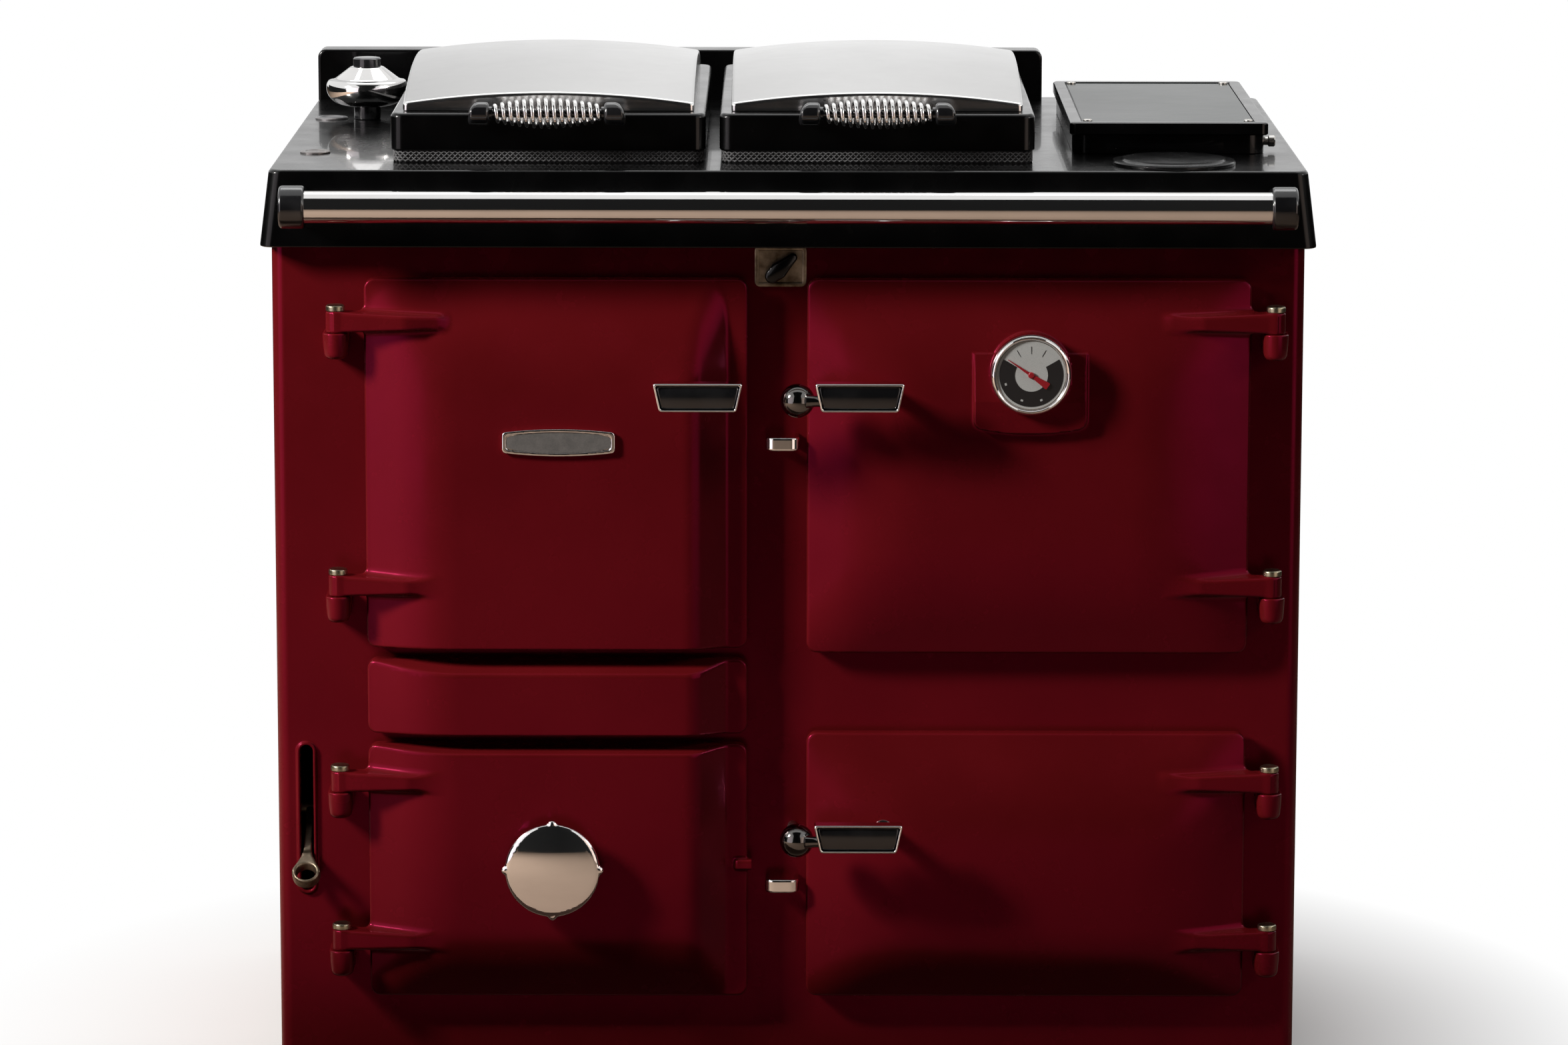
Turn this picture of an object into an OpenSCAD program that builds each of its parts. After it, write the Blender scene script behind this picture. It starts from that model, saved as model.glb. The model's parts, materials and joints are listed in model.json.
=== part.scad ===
// Cast iron solid fuel range cooker: two ovens, a firebox with its ashpit,
// two hotplates under sprung-grip lids, and a flue box.
// Millimetres, +Z up, the front faces -Y, and the origin is under the middle of the whole cooker.
// Inside the modules y = 0 is the front face of the front plate.

/* [Body] */
// Width over the side panels
body_w = 972; // [930:1:1020]
// Depth from the front plate to the back panel
body_d = 640; // [620:1:680]
// Height of the top plate's upper face
plate_z = 905; // [896:1:940]
// Height of the recessed plinth
plinth_h = 54; // [50:1:90]
// How far the plinth stands back from the front plate
plinth_in = 45; // [20:1:80]
// How far the plinth stands in from each side
plinth_side_in = 14; // [6:1:30]
// Wall of the plinth
plinth_t = 6; // [4:0.5:10]
// Thickness of the base plate on the plinth
base_t = 4; // [3:0.5:8]
// Thickness of the side panels
panel_t = 5; // [3:0.5:8]
// Thickness of the front plate
front_t = 12; // [8:0.5:16]
// Thickness of the back panel
back_t = 6; // [4:0.5:10]

/* [Top plate] */
// Thickness of the top plate
plate_t = 12; // [10:0.5:16]
// Height of the apron round the top plate
apron_h = 72; // [60:1:78]
// How far the foot of the apron stands out past the side panels
apron_side = 9; // [7:0.5:14]
// How far the foot of the apron stands out past the front plate
apron_front = 23; // [18:0.5:28]
// How much the apron flares outwards on its way down
apron_flare = 8; // [4:0.5:9]
// Radius of the top plate's corners
plate_r = 12; // [8:1:18]
// How far the top plate runs past the back panel
plate_back = 6; // [3:1:10]
// Height of the upstand along the back
upstand_h = 52; // [40:1:70]
// Thickness of the upstand
upstand_t = 34; // [24:1:40]
// Gap between the upstand's right end and the flue box
upstand_gap = 10; // [8:1:30]

/* [Doors] */
// Left edge of the left-hand doors
left_x = -398; // [-405:1:-390]
// Width of the left-hand doors
left_w = 360; // [350:1:364]
// Left edge of the right-hand doors
right_x = 18; // [14:1:24]
// Width of the right-hand doors
right_w = 417; // [405:1:420]
// Top edge of the upper doors
upper_top = 803; // [795:1:810]
// Bottom edge of the fire door
fire_bottom = 451; // [448:1:460]
// Bottom edge of the upper oven door
oven_bottom = 446; // [440:1:456]
// Top edge of the strip between the left-hand doors
strip_top = 440; // [432:1:442]
// Bottom edge of the strip between the left-hand doors
strip_bottom = 368; // [364:1:380]
// Top edge of the ash door
ash_top = 358; // [350:1:360]
// Top edge of the lower oven door
lower_top = 369; // [360:1:376]
// Bottom edge of both lower doors
lower_bottom = 112; // [100:1:120]
// Gap between a door's back and the front plate
door_gap = 4; // [2:0.5:6]
// Height of a door's upright rim
door_rim = 14; // [10:1:18]
// How far a door's face stands in front of its rim
door_rise = 24; // [16:1:28]
// Thickness of the castings behind a door's face
door_wall = 9; // [7:0.5:12]
// Corner radius of a door
door_r = 5; // [3:0.5:8]
// Width of the soft shoulder on the left of the left-hand doors
left_shoulder = 58; // [40:1:64]
// Width of the bevel on the right of the left-hand doors
left_bevel = 31; // [22:1:38]
// Width of the flat rim beyond that bevel
rim_strip = 19; // [12:1:24]
// Width of the bevels at both sides of the oven doors
oven_bevel = 70; // [56:1:74]
// Height of the bevel under the upper oven door's face
oven_foot = 72; // [50:1:80]
// Height of the bevel under the faces of the lower doors
lower_foot = 50; // [40:1:56]
// Height of the bevel over a door's face
top_bevel = 70; // [56:1:80]
// Height of the bevel over the face of the strip between the fire and ash doors
strip_bevel = 10; // [6:1:16]
// How much smaller an opening is than its door, on each side
opening_in = 19; // [16:1:24]
// Clearance of a door's lining in its opening
liner_clear = 8; // [5:0.5:10]
// How far a door's lining reaches behind the front face
liner_d = 22; // [14:1:26]

// Wall of a door's lining
liner_t = 6; // [4:0.5:8]

/* [Hinges] */
// Hinge pin centre to the door's edge, left
hinge_out_left = 26; // [24:1:30]
// Hinge pin centre to the door's edge, right
hinge_out_right = 22; // [20:1:28]
// Distance of the hinge pins in front of the front plate
hinge_y = 28; // [24:1:32]
// Diameter of a hinge pin
pin_d = 10; // [8:0.5:12]
// Diameter of a hinge pin's head
pin_head_d = 18; // [15:0.5:20]
// Height of a hinge pin's head
pin_head_h = 6; // [4:0.5:8]
// Height of a door's hinge arm
arm_h = 20; // [16:1:24]
// Diameter of the eye of a hinge arm
arm_eye_d = 18; // [16:0.5:20]
// How far a hinge arm runs on over its door
arm_run = 95; // [70:1:110]
// Height of a hinge bracket's knuckle
knuckle_h = 25; // [20:1:30]
// Width of a hinge bracket's knuckle
knuckle_w = 24; // [20:1:26]
// Upper hinge of the upper doors, height of its middle
hinge_z1 = 764; // [750:1:775]
// Lower hinge of the upper doors, height of its middle
hinge_z2 = 513; // [505:1:530]
// Upper hinge of the lower doors, height of its middle
hinge_z3 = 324; // [315:1:330]
// Lower hinge of the lower doors, height of its middle
hinge_z4 = 170; // [160:1:185]

/* [Door furniture] */
// Width of a handle's tray at its upper edge
handle_w = 82; // [76:1:84]
// Height of a handle's tray
handle_h = 27; // [22:1:30]
// Depth of a handle's tray
handle_d = 18; // [14:1:20]
// Wall of a handle's tray
handle_t = 4; // [3:0.5:5]
// How much each end of the tray slants in towards its lower edge
handle_slant = 6; // [2:0.5:8]
// Gap between a door's face and its handle
handle_gap = 28; // [22:1:30]
// Handle middle height on the upper doors
handle_upper_z = 701; // [680:1:710]
// Handle middle height on the lower oven door
handle_lower_z = 281; // [270:1:284]
// Handle pivot from the handle's end
handle_pivot = 17; // [14:1:22]
// Diameter of a handle's spindle
spindle_d = 14; // [10:0.5:16]
// Diameter of the ball at the end of an oven handle
ball_d = 32; // [26:1:34]
// Left end of the fire door's handle to the door's right edge
fire_handle_in = 87; // [85:1:92]
// Gap from an oven door's left edge to its handle
oven_handle_in = 8; // [7:1:12]
// Width of the badge plate
badge_w = 106; // [90:1:120]
// Height of the badge plate
badge_h = 26; // [20:1:30]
// Thickness of the badge plate
badge_t = 4; // [2:0.5:6]
// Badge middle from the fire door's left edge
badge_x = 183; // [170:1:200]
// Badge middle height
badge_z = 652; // [630:1:670]
// Diameter of the thermometer's bezel
dial_d = 77; // [70:1:84]
// Height of the thermometer's bezel above its pad
dial_h = 12; // [8:1:16]
// Width of the thermometer's pad
pad_w = 106; // [96:1:116]
// Height of the raised pad above the door's face
pad_h = 8; // [4:1:10]
// Thermometer middle from the oven door's left edge
dial_x = 209; // [195:1:220]
// Thermometer middle height
dial_z = 719; // [710:1:722]
// Diameter of the air wheel
wheel_d = 90; // [80:1:96]
// Thickness of the air wheel's rim
wheel_t = 9; // [6:1:12]
// Gap between the ash door and the air wheel
wheel_gap = 14; // [10:1:18]
// Air wheel middle from the ash door's left edge
wheel_x = 176; // [165:1:190]
// Air wheel middle height
wheel_z = 245; // [240:1:260]
// Diameter of the air valve's disc
valve_d = 100; // [90:1:110]
// Travel of the air valve over its whole thread
valve_travel = 12; // [8:1:14]
// Width of a catch staple
staple_w = 32; // [28:1:36]
// How far a catch staple stands out
staple_out = 30; // [24:1:34]
// Height of a catch staple's strap
staple_h = 13; // [10:1:16]
// Thickness of a catch staple's strap
staple_t = 5; // [4:0.5:6]
// Middle height of the upper catch staple
staple_upper_z = 648; // [630:1:660]
// Middle height of the lower catch staple
staple_lower_z = 222; // [214:1:226]

/* [Lids] */
// Depth of a lid's frame
lid_d = 474; // [450:1:480]
// Height of a lid's frame
lid_h = 35; // [28:1:40]
// Where the lids' frames begin behind the front plate
lid_y = 46; // [40:1:56]
// Gap between the plate knob and the left-hand lid
knob_lid_gap = 6; // [5:0.5:9]
// Gap between the two lids
lids_gap = 13; // [10:0.5:16]
// Gap between the right-hand lid and the flue box
lid_flue_gap = 39; // [35:1:44]
// Height of the rope seal round a hotplate
seal_h = 11.5; // [9:0.5:14]
// Width of the rope seal round a hotplate
seal_w = 10; // [7:0.5:12]
// How far a lid's dome lies in from its frame's edge at the sides
dome_in = 11; // [8:1:16]
// How far a lid's dome lies in from its frame's edge at the front and back
dome_front_in = 20; // [14:1:26]
// Height of a dome's straight edge at its corners
dome_edge = 7.5; // [3:0.5:10]
// Rise of a dome's middle over the straight edge at its corners
dome_rise = 35.5; // [28:0.5:42]
// Thickness of a dome's wall
dome_t = 3; // [2:0.5:4]
// Thickness of a lid's frame casting
lid_wall = 6; // [4:0.5:8]
// Diameter of the lid hinge rod
lid_pin_d = 8; // [6:0.5:10]

/* [Lid grips] */
// Free length of a coil grip between its brackets
grip_l = 108; // [96:1:116]
// Outer diameter of a coil grip in its middle
grip_d = 30; // [26:1:32]
// Diameter of a coil grip's wire
wire_d = 4; // [3.6:0.1:4.4]
// Turns of a coil grip
grip_turns = 14.5; // [13:0.5:16.5]
// Diameter of the rod through a coil grip
grip_rod_d = 8; // [7:0.5:8.5]
// Grip middle in front of the lid's frame
grip_out = 25; // [22:1:27]
// Grip middle above the lid's frame's foot
grip_up = 38; // [34:1:40]
// Width of a grip bracket
bracket_w = 19; // [16:1:24]
// Diameter of a grip bracket's head
bracket_d = 21; // [20:0.5:24]
// How much nearer its rod a coil grip lies at its ends than in its middle
grip_waist = 6; // [4:0.5:6]

/* [Flue] */
// Gap between the flue box and the right side of the body
flue_edge_gap = 30; // [26:1:34]
// Width of the flue box
flue_w = 184; // [170:1:190]
// Front of the flue box behind the front plate
flue_y = 128; // [122:1:140]
// Depth of the flue box
flue_d = 380; // [350:1:400]
// Height of the flue box under its cover
flue_h = 19; // [17:1:26]
// Thickness of the flue box cover
cover_t = 12; // [10:1:16]
// Overhang of the flue box cover at the front
cover_over = 9; // [4:1:12]
// Wall of the flue box
flue_t = 6; // [5:0.5:9]
// Diameter of the damper rod
rod_d = 8; // [6:0.5:10]
// Diameter of the flue cleaning cover
clean_d = 117; // [100:1:130]
// Bore of the flue outlet at the back
outlet_d = 127; // [100:1:150]
// Length of the flue outlet's socket
outlet_l = 40; // [30:1:60]
// Height of the middle of the flue outlet
outlet_z = 760; // [740:1:770]

/* [Handrail] */
// Diameter of the handrail
rail_d = 30; // [24:1:34]
// Distance of the handrail's axis in front of the front plate
rail_y = 70; // [66:1:76]
// Height of the handrail's axis under the top plate's face
rail_down = 28; // [26:1:32]
// Visible length of the handrail
rail_l = 896; // [860:1:900]
// Width of a rail bracket
rail_bracket_w = 24; // [18:1:24]
// Diameter of a rail bracket's head
rail_head_d = 40; // [38:1:42]

/* [Controls] */
// Greatest diameter of the plate knob
knob_d = 82; // [70:1:84]
// Height of the plate knob's foot over the plate
knob_lift = 13; // [8:1:18]
// Height of the plate knob's band
knob_band_h = 28; // [20:1:32]
// Height of the cone over the band
knob_cone_h = 12; // [8:1:16]
// Diameter of the cap on the plate knob's cone
knob_cap_d = 28; // [22:1:32]
// Height of that cap
knob_cap_h = 9; // [6:1:11]
// Diameter of the plate knob's collar
knob_stem_d = 27; // [20:1:32]
// Gap between the left side of the body and the plate knob
knob_edge_gap = 22; // [20:1:26]
// Plate knob behind the front plate
knob_y = 430; // [400:1:460]
// Height of the riddling slot
slot_h = 142; // [120:1:150]
// Width of the riddling slot
slot_w = 12.5; // [12:0.5:14]
// Middle height of the riddling slot
slot_z = 282; // [276:1:290]
// Riddling slot from the left side of the body
slot_x = 28; // [27:1:30]
// Width of the damper escutcheon
escutcheon_w = 49; // [40:1:54]

/* [Inside] */
// Wall of the ovens and the firebox
oven_t = 6; // [4:0.5:8]
// Depth of the ovens
oven_d = 500; // [450:1:520]
// Thickness of the firebox's lining bricks
brick_t = 25; // [20:1:30]
// Shelf above the oven's floor
shelf_up = 150; // [130:1:170]
// Shelf above the lower oven's floor
lower_shelf_up = 105; // [90:1:120]
// Depth of a shelf
shelf_d = 380; // [340:1:390]
// Diameter of the wires of a shelf
shelf_wire = 7; // [5:0.5:9]
// Height of the ashpan
ashpan_h = 90; // [70:1:110]
// Height of the grate over the ash door's top edge
grate_up = 40; // [32:1:50]

/* [Fits] */
// Radial clearance of a turning or sliding shaft
running = 0.05; // [0.02:0.01:0.1]
// Gap between faces of different moving pieces
face_gap = 0.3; // [0.3:0.05:0.5]

/* [Hidden] */
$fn = 48;
hull_fn = 32;
eps = 0.01;

half_w = body_w / 2;
front_most = rail_y + rail_head_d / 2;
back_most = body_d + plate_back;
row_y = (front_most - back_most) / 2;

body_top = plate_z - plate_t;
apron_z = plate_z - apron_h;
inner_half = half_w - panel_t - face_gap;

left_r = left_x + left_w;
right_r = right_x + right_w;
pin_left = left_x - hinge_out_left;
pin_right = right_r + hinge_out_right;
door_y0 = -door_gap;
rim_y = door_y0 - door_rim;
face_y = rim_y - door_rise;
hinges_upper = [hinge_z1, hinge_z2];
hinges_lower = [hinge_z3, hinge_z4];

// Left edge, right edge, foot and top of each door, and the bevels in the same order.
fire_box = [left_x, left_r, fire_bottom, upper_top];
strip_box = [left_x, left_r, strip_bottom, strip_top];
ash_box = [left_x, left_r, lower_bottom, ash_top];
oven_box = [right_x, right_r, oven_bottom, upper_top];
lower_box = [right_x, right_r, lower_bottom, lower_top];
fire_bevels = [left_shoulder, left_bevel, 1, top_bevel];
strip_bevels = [left_shoulder, left_bevel, 1, strip_bevel];
ash_bevels = [left_shoulder, left_bevel, lower_foot, strip_bevel / 2];
oven_bevels = [oven_bevel, oven_bevel, oven_foot, top_bevel];
lower_bevels = [oven_bevel, oven_bevel, lower_foot, top_bevel];

mullion_x = (left_r + right_x) / 2;
handle_y0 = face_y - handle_gap;
handle_y1 = handle_y0 - handle_d;
fire_handle_x = left_r - fire_handle_in;
oven_handle_x = right_x + oven_handle_in;
ball_x = oven_handle_x - ball_d / 2 - 1;
ball_y = handle_y0 - handle_d / 2 + ball_d / 2 - 6;
badge_mid = left_x + badge_x;
dial_mid = right_x + dial_x;
pad_y = face_y - pad_h;
dial_face_y = pad_y - dial_h / 2;
wheel_mid = left_x + wheel_x;
wheel_y = face_y - wheel_gap;

// The knob, the two lids and the flue box stand in a row across the plate, and the lids
// take up what the others leave.
knob_x = knob_edge_gap + knob_d / 2 - half_w;
lids_x0 = knob_x + knob_d / 2 + knob_lid_gap;
flue_x = half_w - flue_edge_gap - flue_w;
lid_w = (flue_x - lid_flue_gap - lids_x0 - lids_gap) / 2;
lid_left_x = lids_x0 + lid_w / 2;
lid_right_x = lid_left_x + lid_w + lids_gap;

seal_top = plate_z + seal_h;
lid_z = seal_top + face_gap;
frame_top = lid_z + lid_h;
lid_back = lid_y + lid_d;
lid_pin_y = lid_back + 10;
lid_pin_z = lid_z + lid_pin_d;
dome_w = lid_w - 2 * dome_in;
dome_d = lid_d - 2 * dome_front_in;
dome_radius = (pow(dome_w / 2, 2) + pow(dome_d / 2, 2) + pow(dome_rise, 2)) / (2 * dome_rise);
grip_y = lid_y - grip_out;
grip_z = lid_z + grip_up;
wire_r = wire_d / 2;
coil_r = grip_d / 2 - wire_r;

flue_r = flue_x + flue_w;
upstand_right = flue_x - upstand_gap;
flue_top = plate_z + flue_h;
cover_top = flue_top + cover_t;
rail_z = plate_z - rail_down;
knob_mid = [knob_x, knob_y];
slot_mid = slot_x - half_w;
lever_y = 45;
lever_tilt = 38;
lever_shaft_d = 12;
plug_spots = [[27 - half_w, 429, 33], [33 - half_w, 129, 29]];
clean_mid = [flue_x + flue_w / 2, 47];
outlet_x = flue_x + flue_w / 2;

// ---- Shared shapes ----

// Moves a piece drawn from the front plate into the cooker's own frame.
module in_place() {
    translate([0, row_y, 0]) children();
}

// A rectangle from x0, y0 to x1, y1 with round corners.
module round_rect(x0, x1, y0, y1, r) {
    translate([x0 + r, y0]) square([x1 - x0 - 2 * r, y1 - y0]);
    translate([x0, y0 + r]) square([x1 - x0, y1 - y0 - 2 * r]);
    for (x = [x0 + r, x1 - r], y = [y0 + r, y1 - r]) translate([x, y]) circle(r);
}

// A shape drawn in X and Z, from y = back forwards to y = front.
module along_y(front, back) {
    translate([0, back, 0]) rotate([90, 0, 0]) linear_extrude(back - front) children();
}

// A block between two corners.
module block(a, b) {
    translate(a) cube(b - a);
}

// A box [left, right, foot, top] drawn in by the same margin on each side.
function shrink(b, m) = [b[0] + m, b[1] - m, b[2] + m, b[3] - m];

module box_2d(b, r) {
    round_rect(b[0], b[1], b[2], b[3], r);
}

// Rod along Y, from y0 to y1.
module rod_y(x, z, y0, y1, d) {
    translate([x, y1, z]) rotate([90, 0, 0]) cylinder(d = d, h = y1 - y0);
}

// Rod along X, from x0 to x1.
module rod_x(y, z, x0, x1, d) {
    translate([x0, y, z]) rotate([0, 90, 0]) cylinder(d = d, h = x1 - x0);
}

// ---- Carcass ----

module plinth() {
    color([0.06, 0.06, 0.06]) in_place() difference() {
        block([plinth_side_in - half_w, plinth_in, 0],
              [half_w - plinth_side_in, body_d - back_t, plinth_h]);
        block([plinth_side_in - half_w + plinth_t, plinth_in + plinth_t, -1],
              [half_w - plinth_side_in - plinth_t, body_d - back_t - plinth_t, plinth_h - plinth_t]);
    }
    color([0.06, 0.06, 0.06]) in_place()
        block([-inner_half, front_t, plinth_h - eps], [inner_half, body_d - back_t, plinth_h + base_t]);
}

module side_panels() {
    color([0.30, 0.02, 0.04]) in_place() for (s = [0, 1]) mirror([s, 0, 0])
        block([half_w - panel_t, 0, plinth_h], [half_w, body_d, body_top]);
}

// Hole in the front plate behind a door.
module door_opening(b) {
    along_y(-1, front_t + 1) box_2d(shrink(b, opening_in), door_r);
}

module riddling_slot(grow) {
    round_rect(slot_mid - slot_w / 2 - grow, slot_mid + slot_w / 2 + grow,
               slot_z - slot_h / 2 - grow, slot_z + slot_h / 2 + grow, slot_w / 2 + grow - eps);
}

module front_plate() {
    lip = 3;
    lug_w = 6;
    color([0.30, 0.02, 0.04]) in_place() difference() {
        union() {
            block([-inner_half, 0, plinth_h], [inner_half, front_t, body_top]);
            along_y(-lip, 0) riddling_slot(lip);
            for (s = [-1, 1])
                block([slot_mid + s * (slot_w + lug_w) / 2 - lug_w / 2, front_t - eps, slot_z - 12],
                      [slot_mid + s * (slot_w + lug_w) / 2 + lug_w / 2, lever_y + 12, slot_z + 12]);
        }
        for (b = [fire_box, ash_box, oven_box, lower_box]) door_opening(b);
        along_y(-lip - 1, front_t + 1) riddling_slot(0);
        rod_x(lever_y, slot_z, slot_mid - slot_w - lug_w, slot_mid + slot_w + lug_w,
              lever_shaft_d + 2 * running);
    }
}

// Back panel with the flue outlet's socket cast on its inside.
module back_panel() {
    wall = 6;
    y0 = body_d - back_t;
    color([0.08, 0.08, 0.08]) in_place() difference() {
        union() {
            block([-inner_half, y0, plinth_h], [inner_half, body_d, body_top]);
            rod_y(outlet_x, outlet_z, y0 - outlet_l + back_t, y0 + eps, outlet_d + 2 * wall);
        }
        rod_y(outlet_x, outlet_z, y0 - outlet_l, body_d + 1, outlet_d);
    }
}

// Outside of the top plate with its flared apron.
module plate_outer() {
    $fn = hull_fn;
    foot = half_w + apron_side;
    head = foot - apron_flare;
    hull() {
        translate([0, 0, apron_z]) linear_extrude(1)
            round_rect(-foot, foot, -apron_front, back_most, plate_r);
        translate([0, 0, plate_z - 1]) linear_extrude(1)
            round_rect(-head, head, apron_flare - apron_front, back_most, plate_r);
    }
}

// Opening in the top plate under a hotplate.
module hotplate_hole(x) {
    in = seal_w + 14;
    translate([0, 0, body_top - 1]) linear_extrude(plate_t + 2)
        round_rect(x - lid_w / 2 + in, x + lid_w / 2 - in, lid_y + in, lid_back - in, 12);
}

module top_plate() {
    color([0.03, 0.03, 0.03]) in_place() difference() {
        plate_outer();
        block([-half_w - face_gap, -face_gap, apron_z - 1], [half_w + face_gap, body_d, body_top]);
        for (x = [lid_left_x, lid_right_x]) hotplate_hole(x);
        block([flue_x + 2 * flue_t, flue_y + 2 * flue_t, body_top - 1],
              [flue_r - 2 * flue_t, flue_y + flue_d - 2 * flue_t, plate_z + 1]);
        translate([clean_mid[0], clean_mid[1], body_top - 1])
            cylinder(d = clean_d - 40, h = plate_t + 2);
        for (p = plug_spots) translate([p[0], p[1], body_top - 1])
            cylinder(d = p[2] - 8, h = plate_t + 2);
        translate([knob_mid[0], knob_mid[1], body_top - 1])
            cylinder(d = 12 + 2 * running, h = plate_t + 2);
    }
}

module upstand() {
    color([0.03, 0.03, 0.03]) in_place()
        along_y(back_most - upstand_t, back_most) difference() {
            round_rect(-half_w, upstand_right, plate_z - 10, plate_z + upstand_h, 8);
            translate([-half_w - 1, plate_z - 11]) square([body_w, 11]);
        }
}

// ---- Cooking surface ----

module hotplates() {
    flange_in = seal_w + 3;
    face_h = 8;
    ledge = 12;
    corner = 14;
    core_in = flange_in + ledge;
    color([0.25, 0.25, 0.26]) in_place() for (x = [lid_left_x, lid_right_x]) {
        translate([0, 0, plate_z]) linear_extrude(face_h)
            round_rect(x - lid_w / 2 + flange_in, x + lid_w / 2 - flange_in,
                       lid_y + flange_in, lid_back - flange_in, corner);
        translate([0, 0, body_top - face_h]) linear_extrude(plate_t + face_h + eps)
            round_rect(x - lid_w / 2 + core_in, x + lid_w / 2 - core_in,
                       lid_y + core_in, lid_back - core_in, corner - 3);
    }
}

module hotplate_seals() {
    color([0.12, 0.12, 0.12]) in_place() for (x = [lid_left_x, lid_right_x])
        translate([0, 0, plate_z]) linear_extrude(seal_h) difference() {
            round_rect(x - lid_w / 2 + 1, x + lid_w / 2 - 1, lid_y + 1, lid_back - 1, 14);
            round_rect(x - lid_w / 2 + seal_w + 1, x + lid_w / 2 - seal_w - 1,
                       lid_y + seal_w + 1, lid_back - seal_w - 1, 8);
        }
}

// Hinge knuckle between a lid's two ears, and the rod through all of them.
module lid_hinges() {
    ear = 14;
    color([0.35, 0.35, 0.36]) in_place() for (x = [lid_left_x, lid_right_x], s = [-1, 1]) {
        mid = x + s * (lid_w / 2 - 40);
        block([mid - ear / 2, lid_pin_y - 5, plate_z], [mid + ear / 2, lid_pin_y + 7, lid_pin_z]);
        rod_x(lid_pin_y, lid_pin_z, mid - ear / 2, mid + ear / 2, 14);
        rod_x(lid_pin_y, lid_pin_z, mid - 1.6 * ear, mid + 1.6 * ear, lid_pin_d);
    }
}

module lid_frame(x) {
    ear = 14;
    in = lid_wall + 2;
    color([0.03, 0.03, 0.03]) in_place() difference() {
        union() {
            translate([0, 0, lid_z]) linear_extrude(lid_h)
                round_rect(x - lid_w / 2, x + lid_w / 2, lid_y, lid_back, 12);
            for (s = [-1, 1], e = [-1, 1]) {
                mid = x + s * (lid_w / 2 - 40) + e * (ear + face_gap);
                rod_x(lid_pin_y, lid_pin_z, mid - ear / 2, mid + ear / 2, 15);
                block([mid - ear / 2, lid_back - 1, lid_pin_z - 7.5],
                      [mid + ear / 2, lid_pin_y, lid_pin_z + 7.5]);
            }
        }
        translate([0, 0, lid_z - 1]) linear_extrude(lid_h - lid_wall + 1)
            round_rect(x - lid_w / 2 + seal_w + in, x + lid_w / 2 - seal_w - in,
                       lid_y + seal_w + in, lid_back - seal_w - in, 8);
        rod_x(lid_pin_y, lid_pin_z, x - lid_w / 2, x + lid_w / 2, lid_pin_d + 2 * running);
        for (s = [-1, 1]) {
            mid = x + s * (lid_w / 2 - 40);
            rod_x(lid_pin_y, lid_pin_z, mid - ear / 2 - face_gap, mid + ear / 2 + face_gap, 16);
        }
    }
}

// Block under a ball, drawn in by a margin. The ball lies with its poles front and back.
module dome_form(x, m) {
    intersection() {
        block([x - dome_w / 2 + m, lid_y + dome_front_in + m, frame_top - (m > 0 ? 1 : 0)],
              [x + dome_w / 2 - m, lid_back - dome_front_in - m, frame_top + dome_edge + dome_rise]);
        translate([x, lid_y + lid_d / 2, frame_top + dome_edge + dome_rise - dome_radius])
            rotate([90, 0, 0]) sphere(r = dome_radius - m, $fn = 360);
    }
}

module lid_dome(x) {
    color([0.72, 0.72, 0.72]) in_place() difference() {
        dome_form(x, 0);
        dome_form(x, dome_t);
    }
}

// Two brackets on the lid's front and the rod that they hold.
module grip_rod(x) {
    color([0.05, 0.05, 0.05]) in_place() {
        rod_x(grip_y, grip_z, x - grip_l / 2 - 1, x + grip_l / 2 + 1, grip_rod_d);
        for (s = [0, 1]) translate([x, 0, 0]) mirror([s, 0, 0]) {
            rod_x(grip_y, grip_z, grip_l / 2, grip_l / 2 + bracket_w, bracket_d);
            block([grip_l / 2, grip_y, grip_z - bracket_d / 2],
                  [grip_l / 2 + bracket_w, lid_y, frame_top]);
        }
    }
}

// ---- Coil grips: one wire each, wound round the rod ----

wire_sides = 6;
curl_rings = 8;
coil_lead = wire_d;
coil_bend = wire_d;
coil_pitch = (grip_l - 2 * (coil_lead + coil_bend)) / grip_turns;
coil_steps = grip_turns * curl_rings;

// Share of the way round and along at each ring: straight, bend, turns, bend, straight.
function coil_in(k) = [[0, 0], [0, coil_lead], [12, coil_lead + 0.55 * coil_bend],
    [32, coil_lead + 0.85 * coil_bend]][k];
function coil_stations() = concat(
    [for (k = [0:3]) coil_in(k)],
    [for (i = [0:coil_steps]) [45 + 360 * i / curl_rings,
        coil_lead + coil_bend + coil_pitch * i / curl_rings]],
    [for (k = [3:-1:0]) [90 + 360 * grip_turns - coil_in(k)[0], grip_l - coil_in(k)[1]]]);
function coil_centre(s) = let (
        r = coil_r - grip_waist * pow(2 * s[1] / grip_l - 1, 2))
    [s[1] - grip_l / 2, r * cos(s[0]), r * sin(s[0])];
function unit(v) = v / norm(v);
function tangent(p, i) = i == 0 || i == len(p) - 1
    ? [1, 0, 0]
    : unit(unit(p[i] - p[i - 1]) + unit(p[i + 1] - p[i]));
// Ring round the wire, square to its run, measured from the line out of the coil's axis.
function wire_ring(p, i) = let (
        t = tangent(p, i),
        out = unit([0, p[i][1], p[i][2]]),
        u = unit(out - (out * t) * t),
        v = cross(t, u))
    [for (k = [0:wire_sides - 1]) p[i] + wire_r * (cos(360 * k / wire_sides) * u
        + sin(360 * k / wire_sides) * v)];

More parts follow.
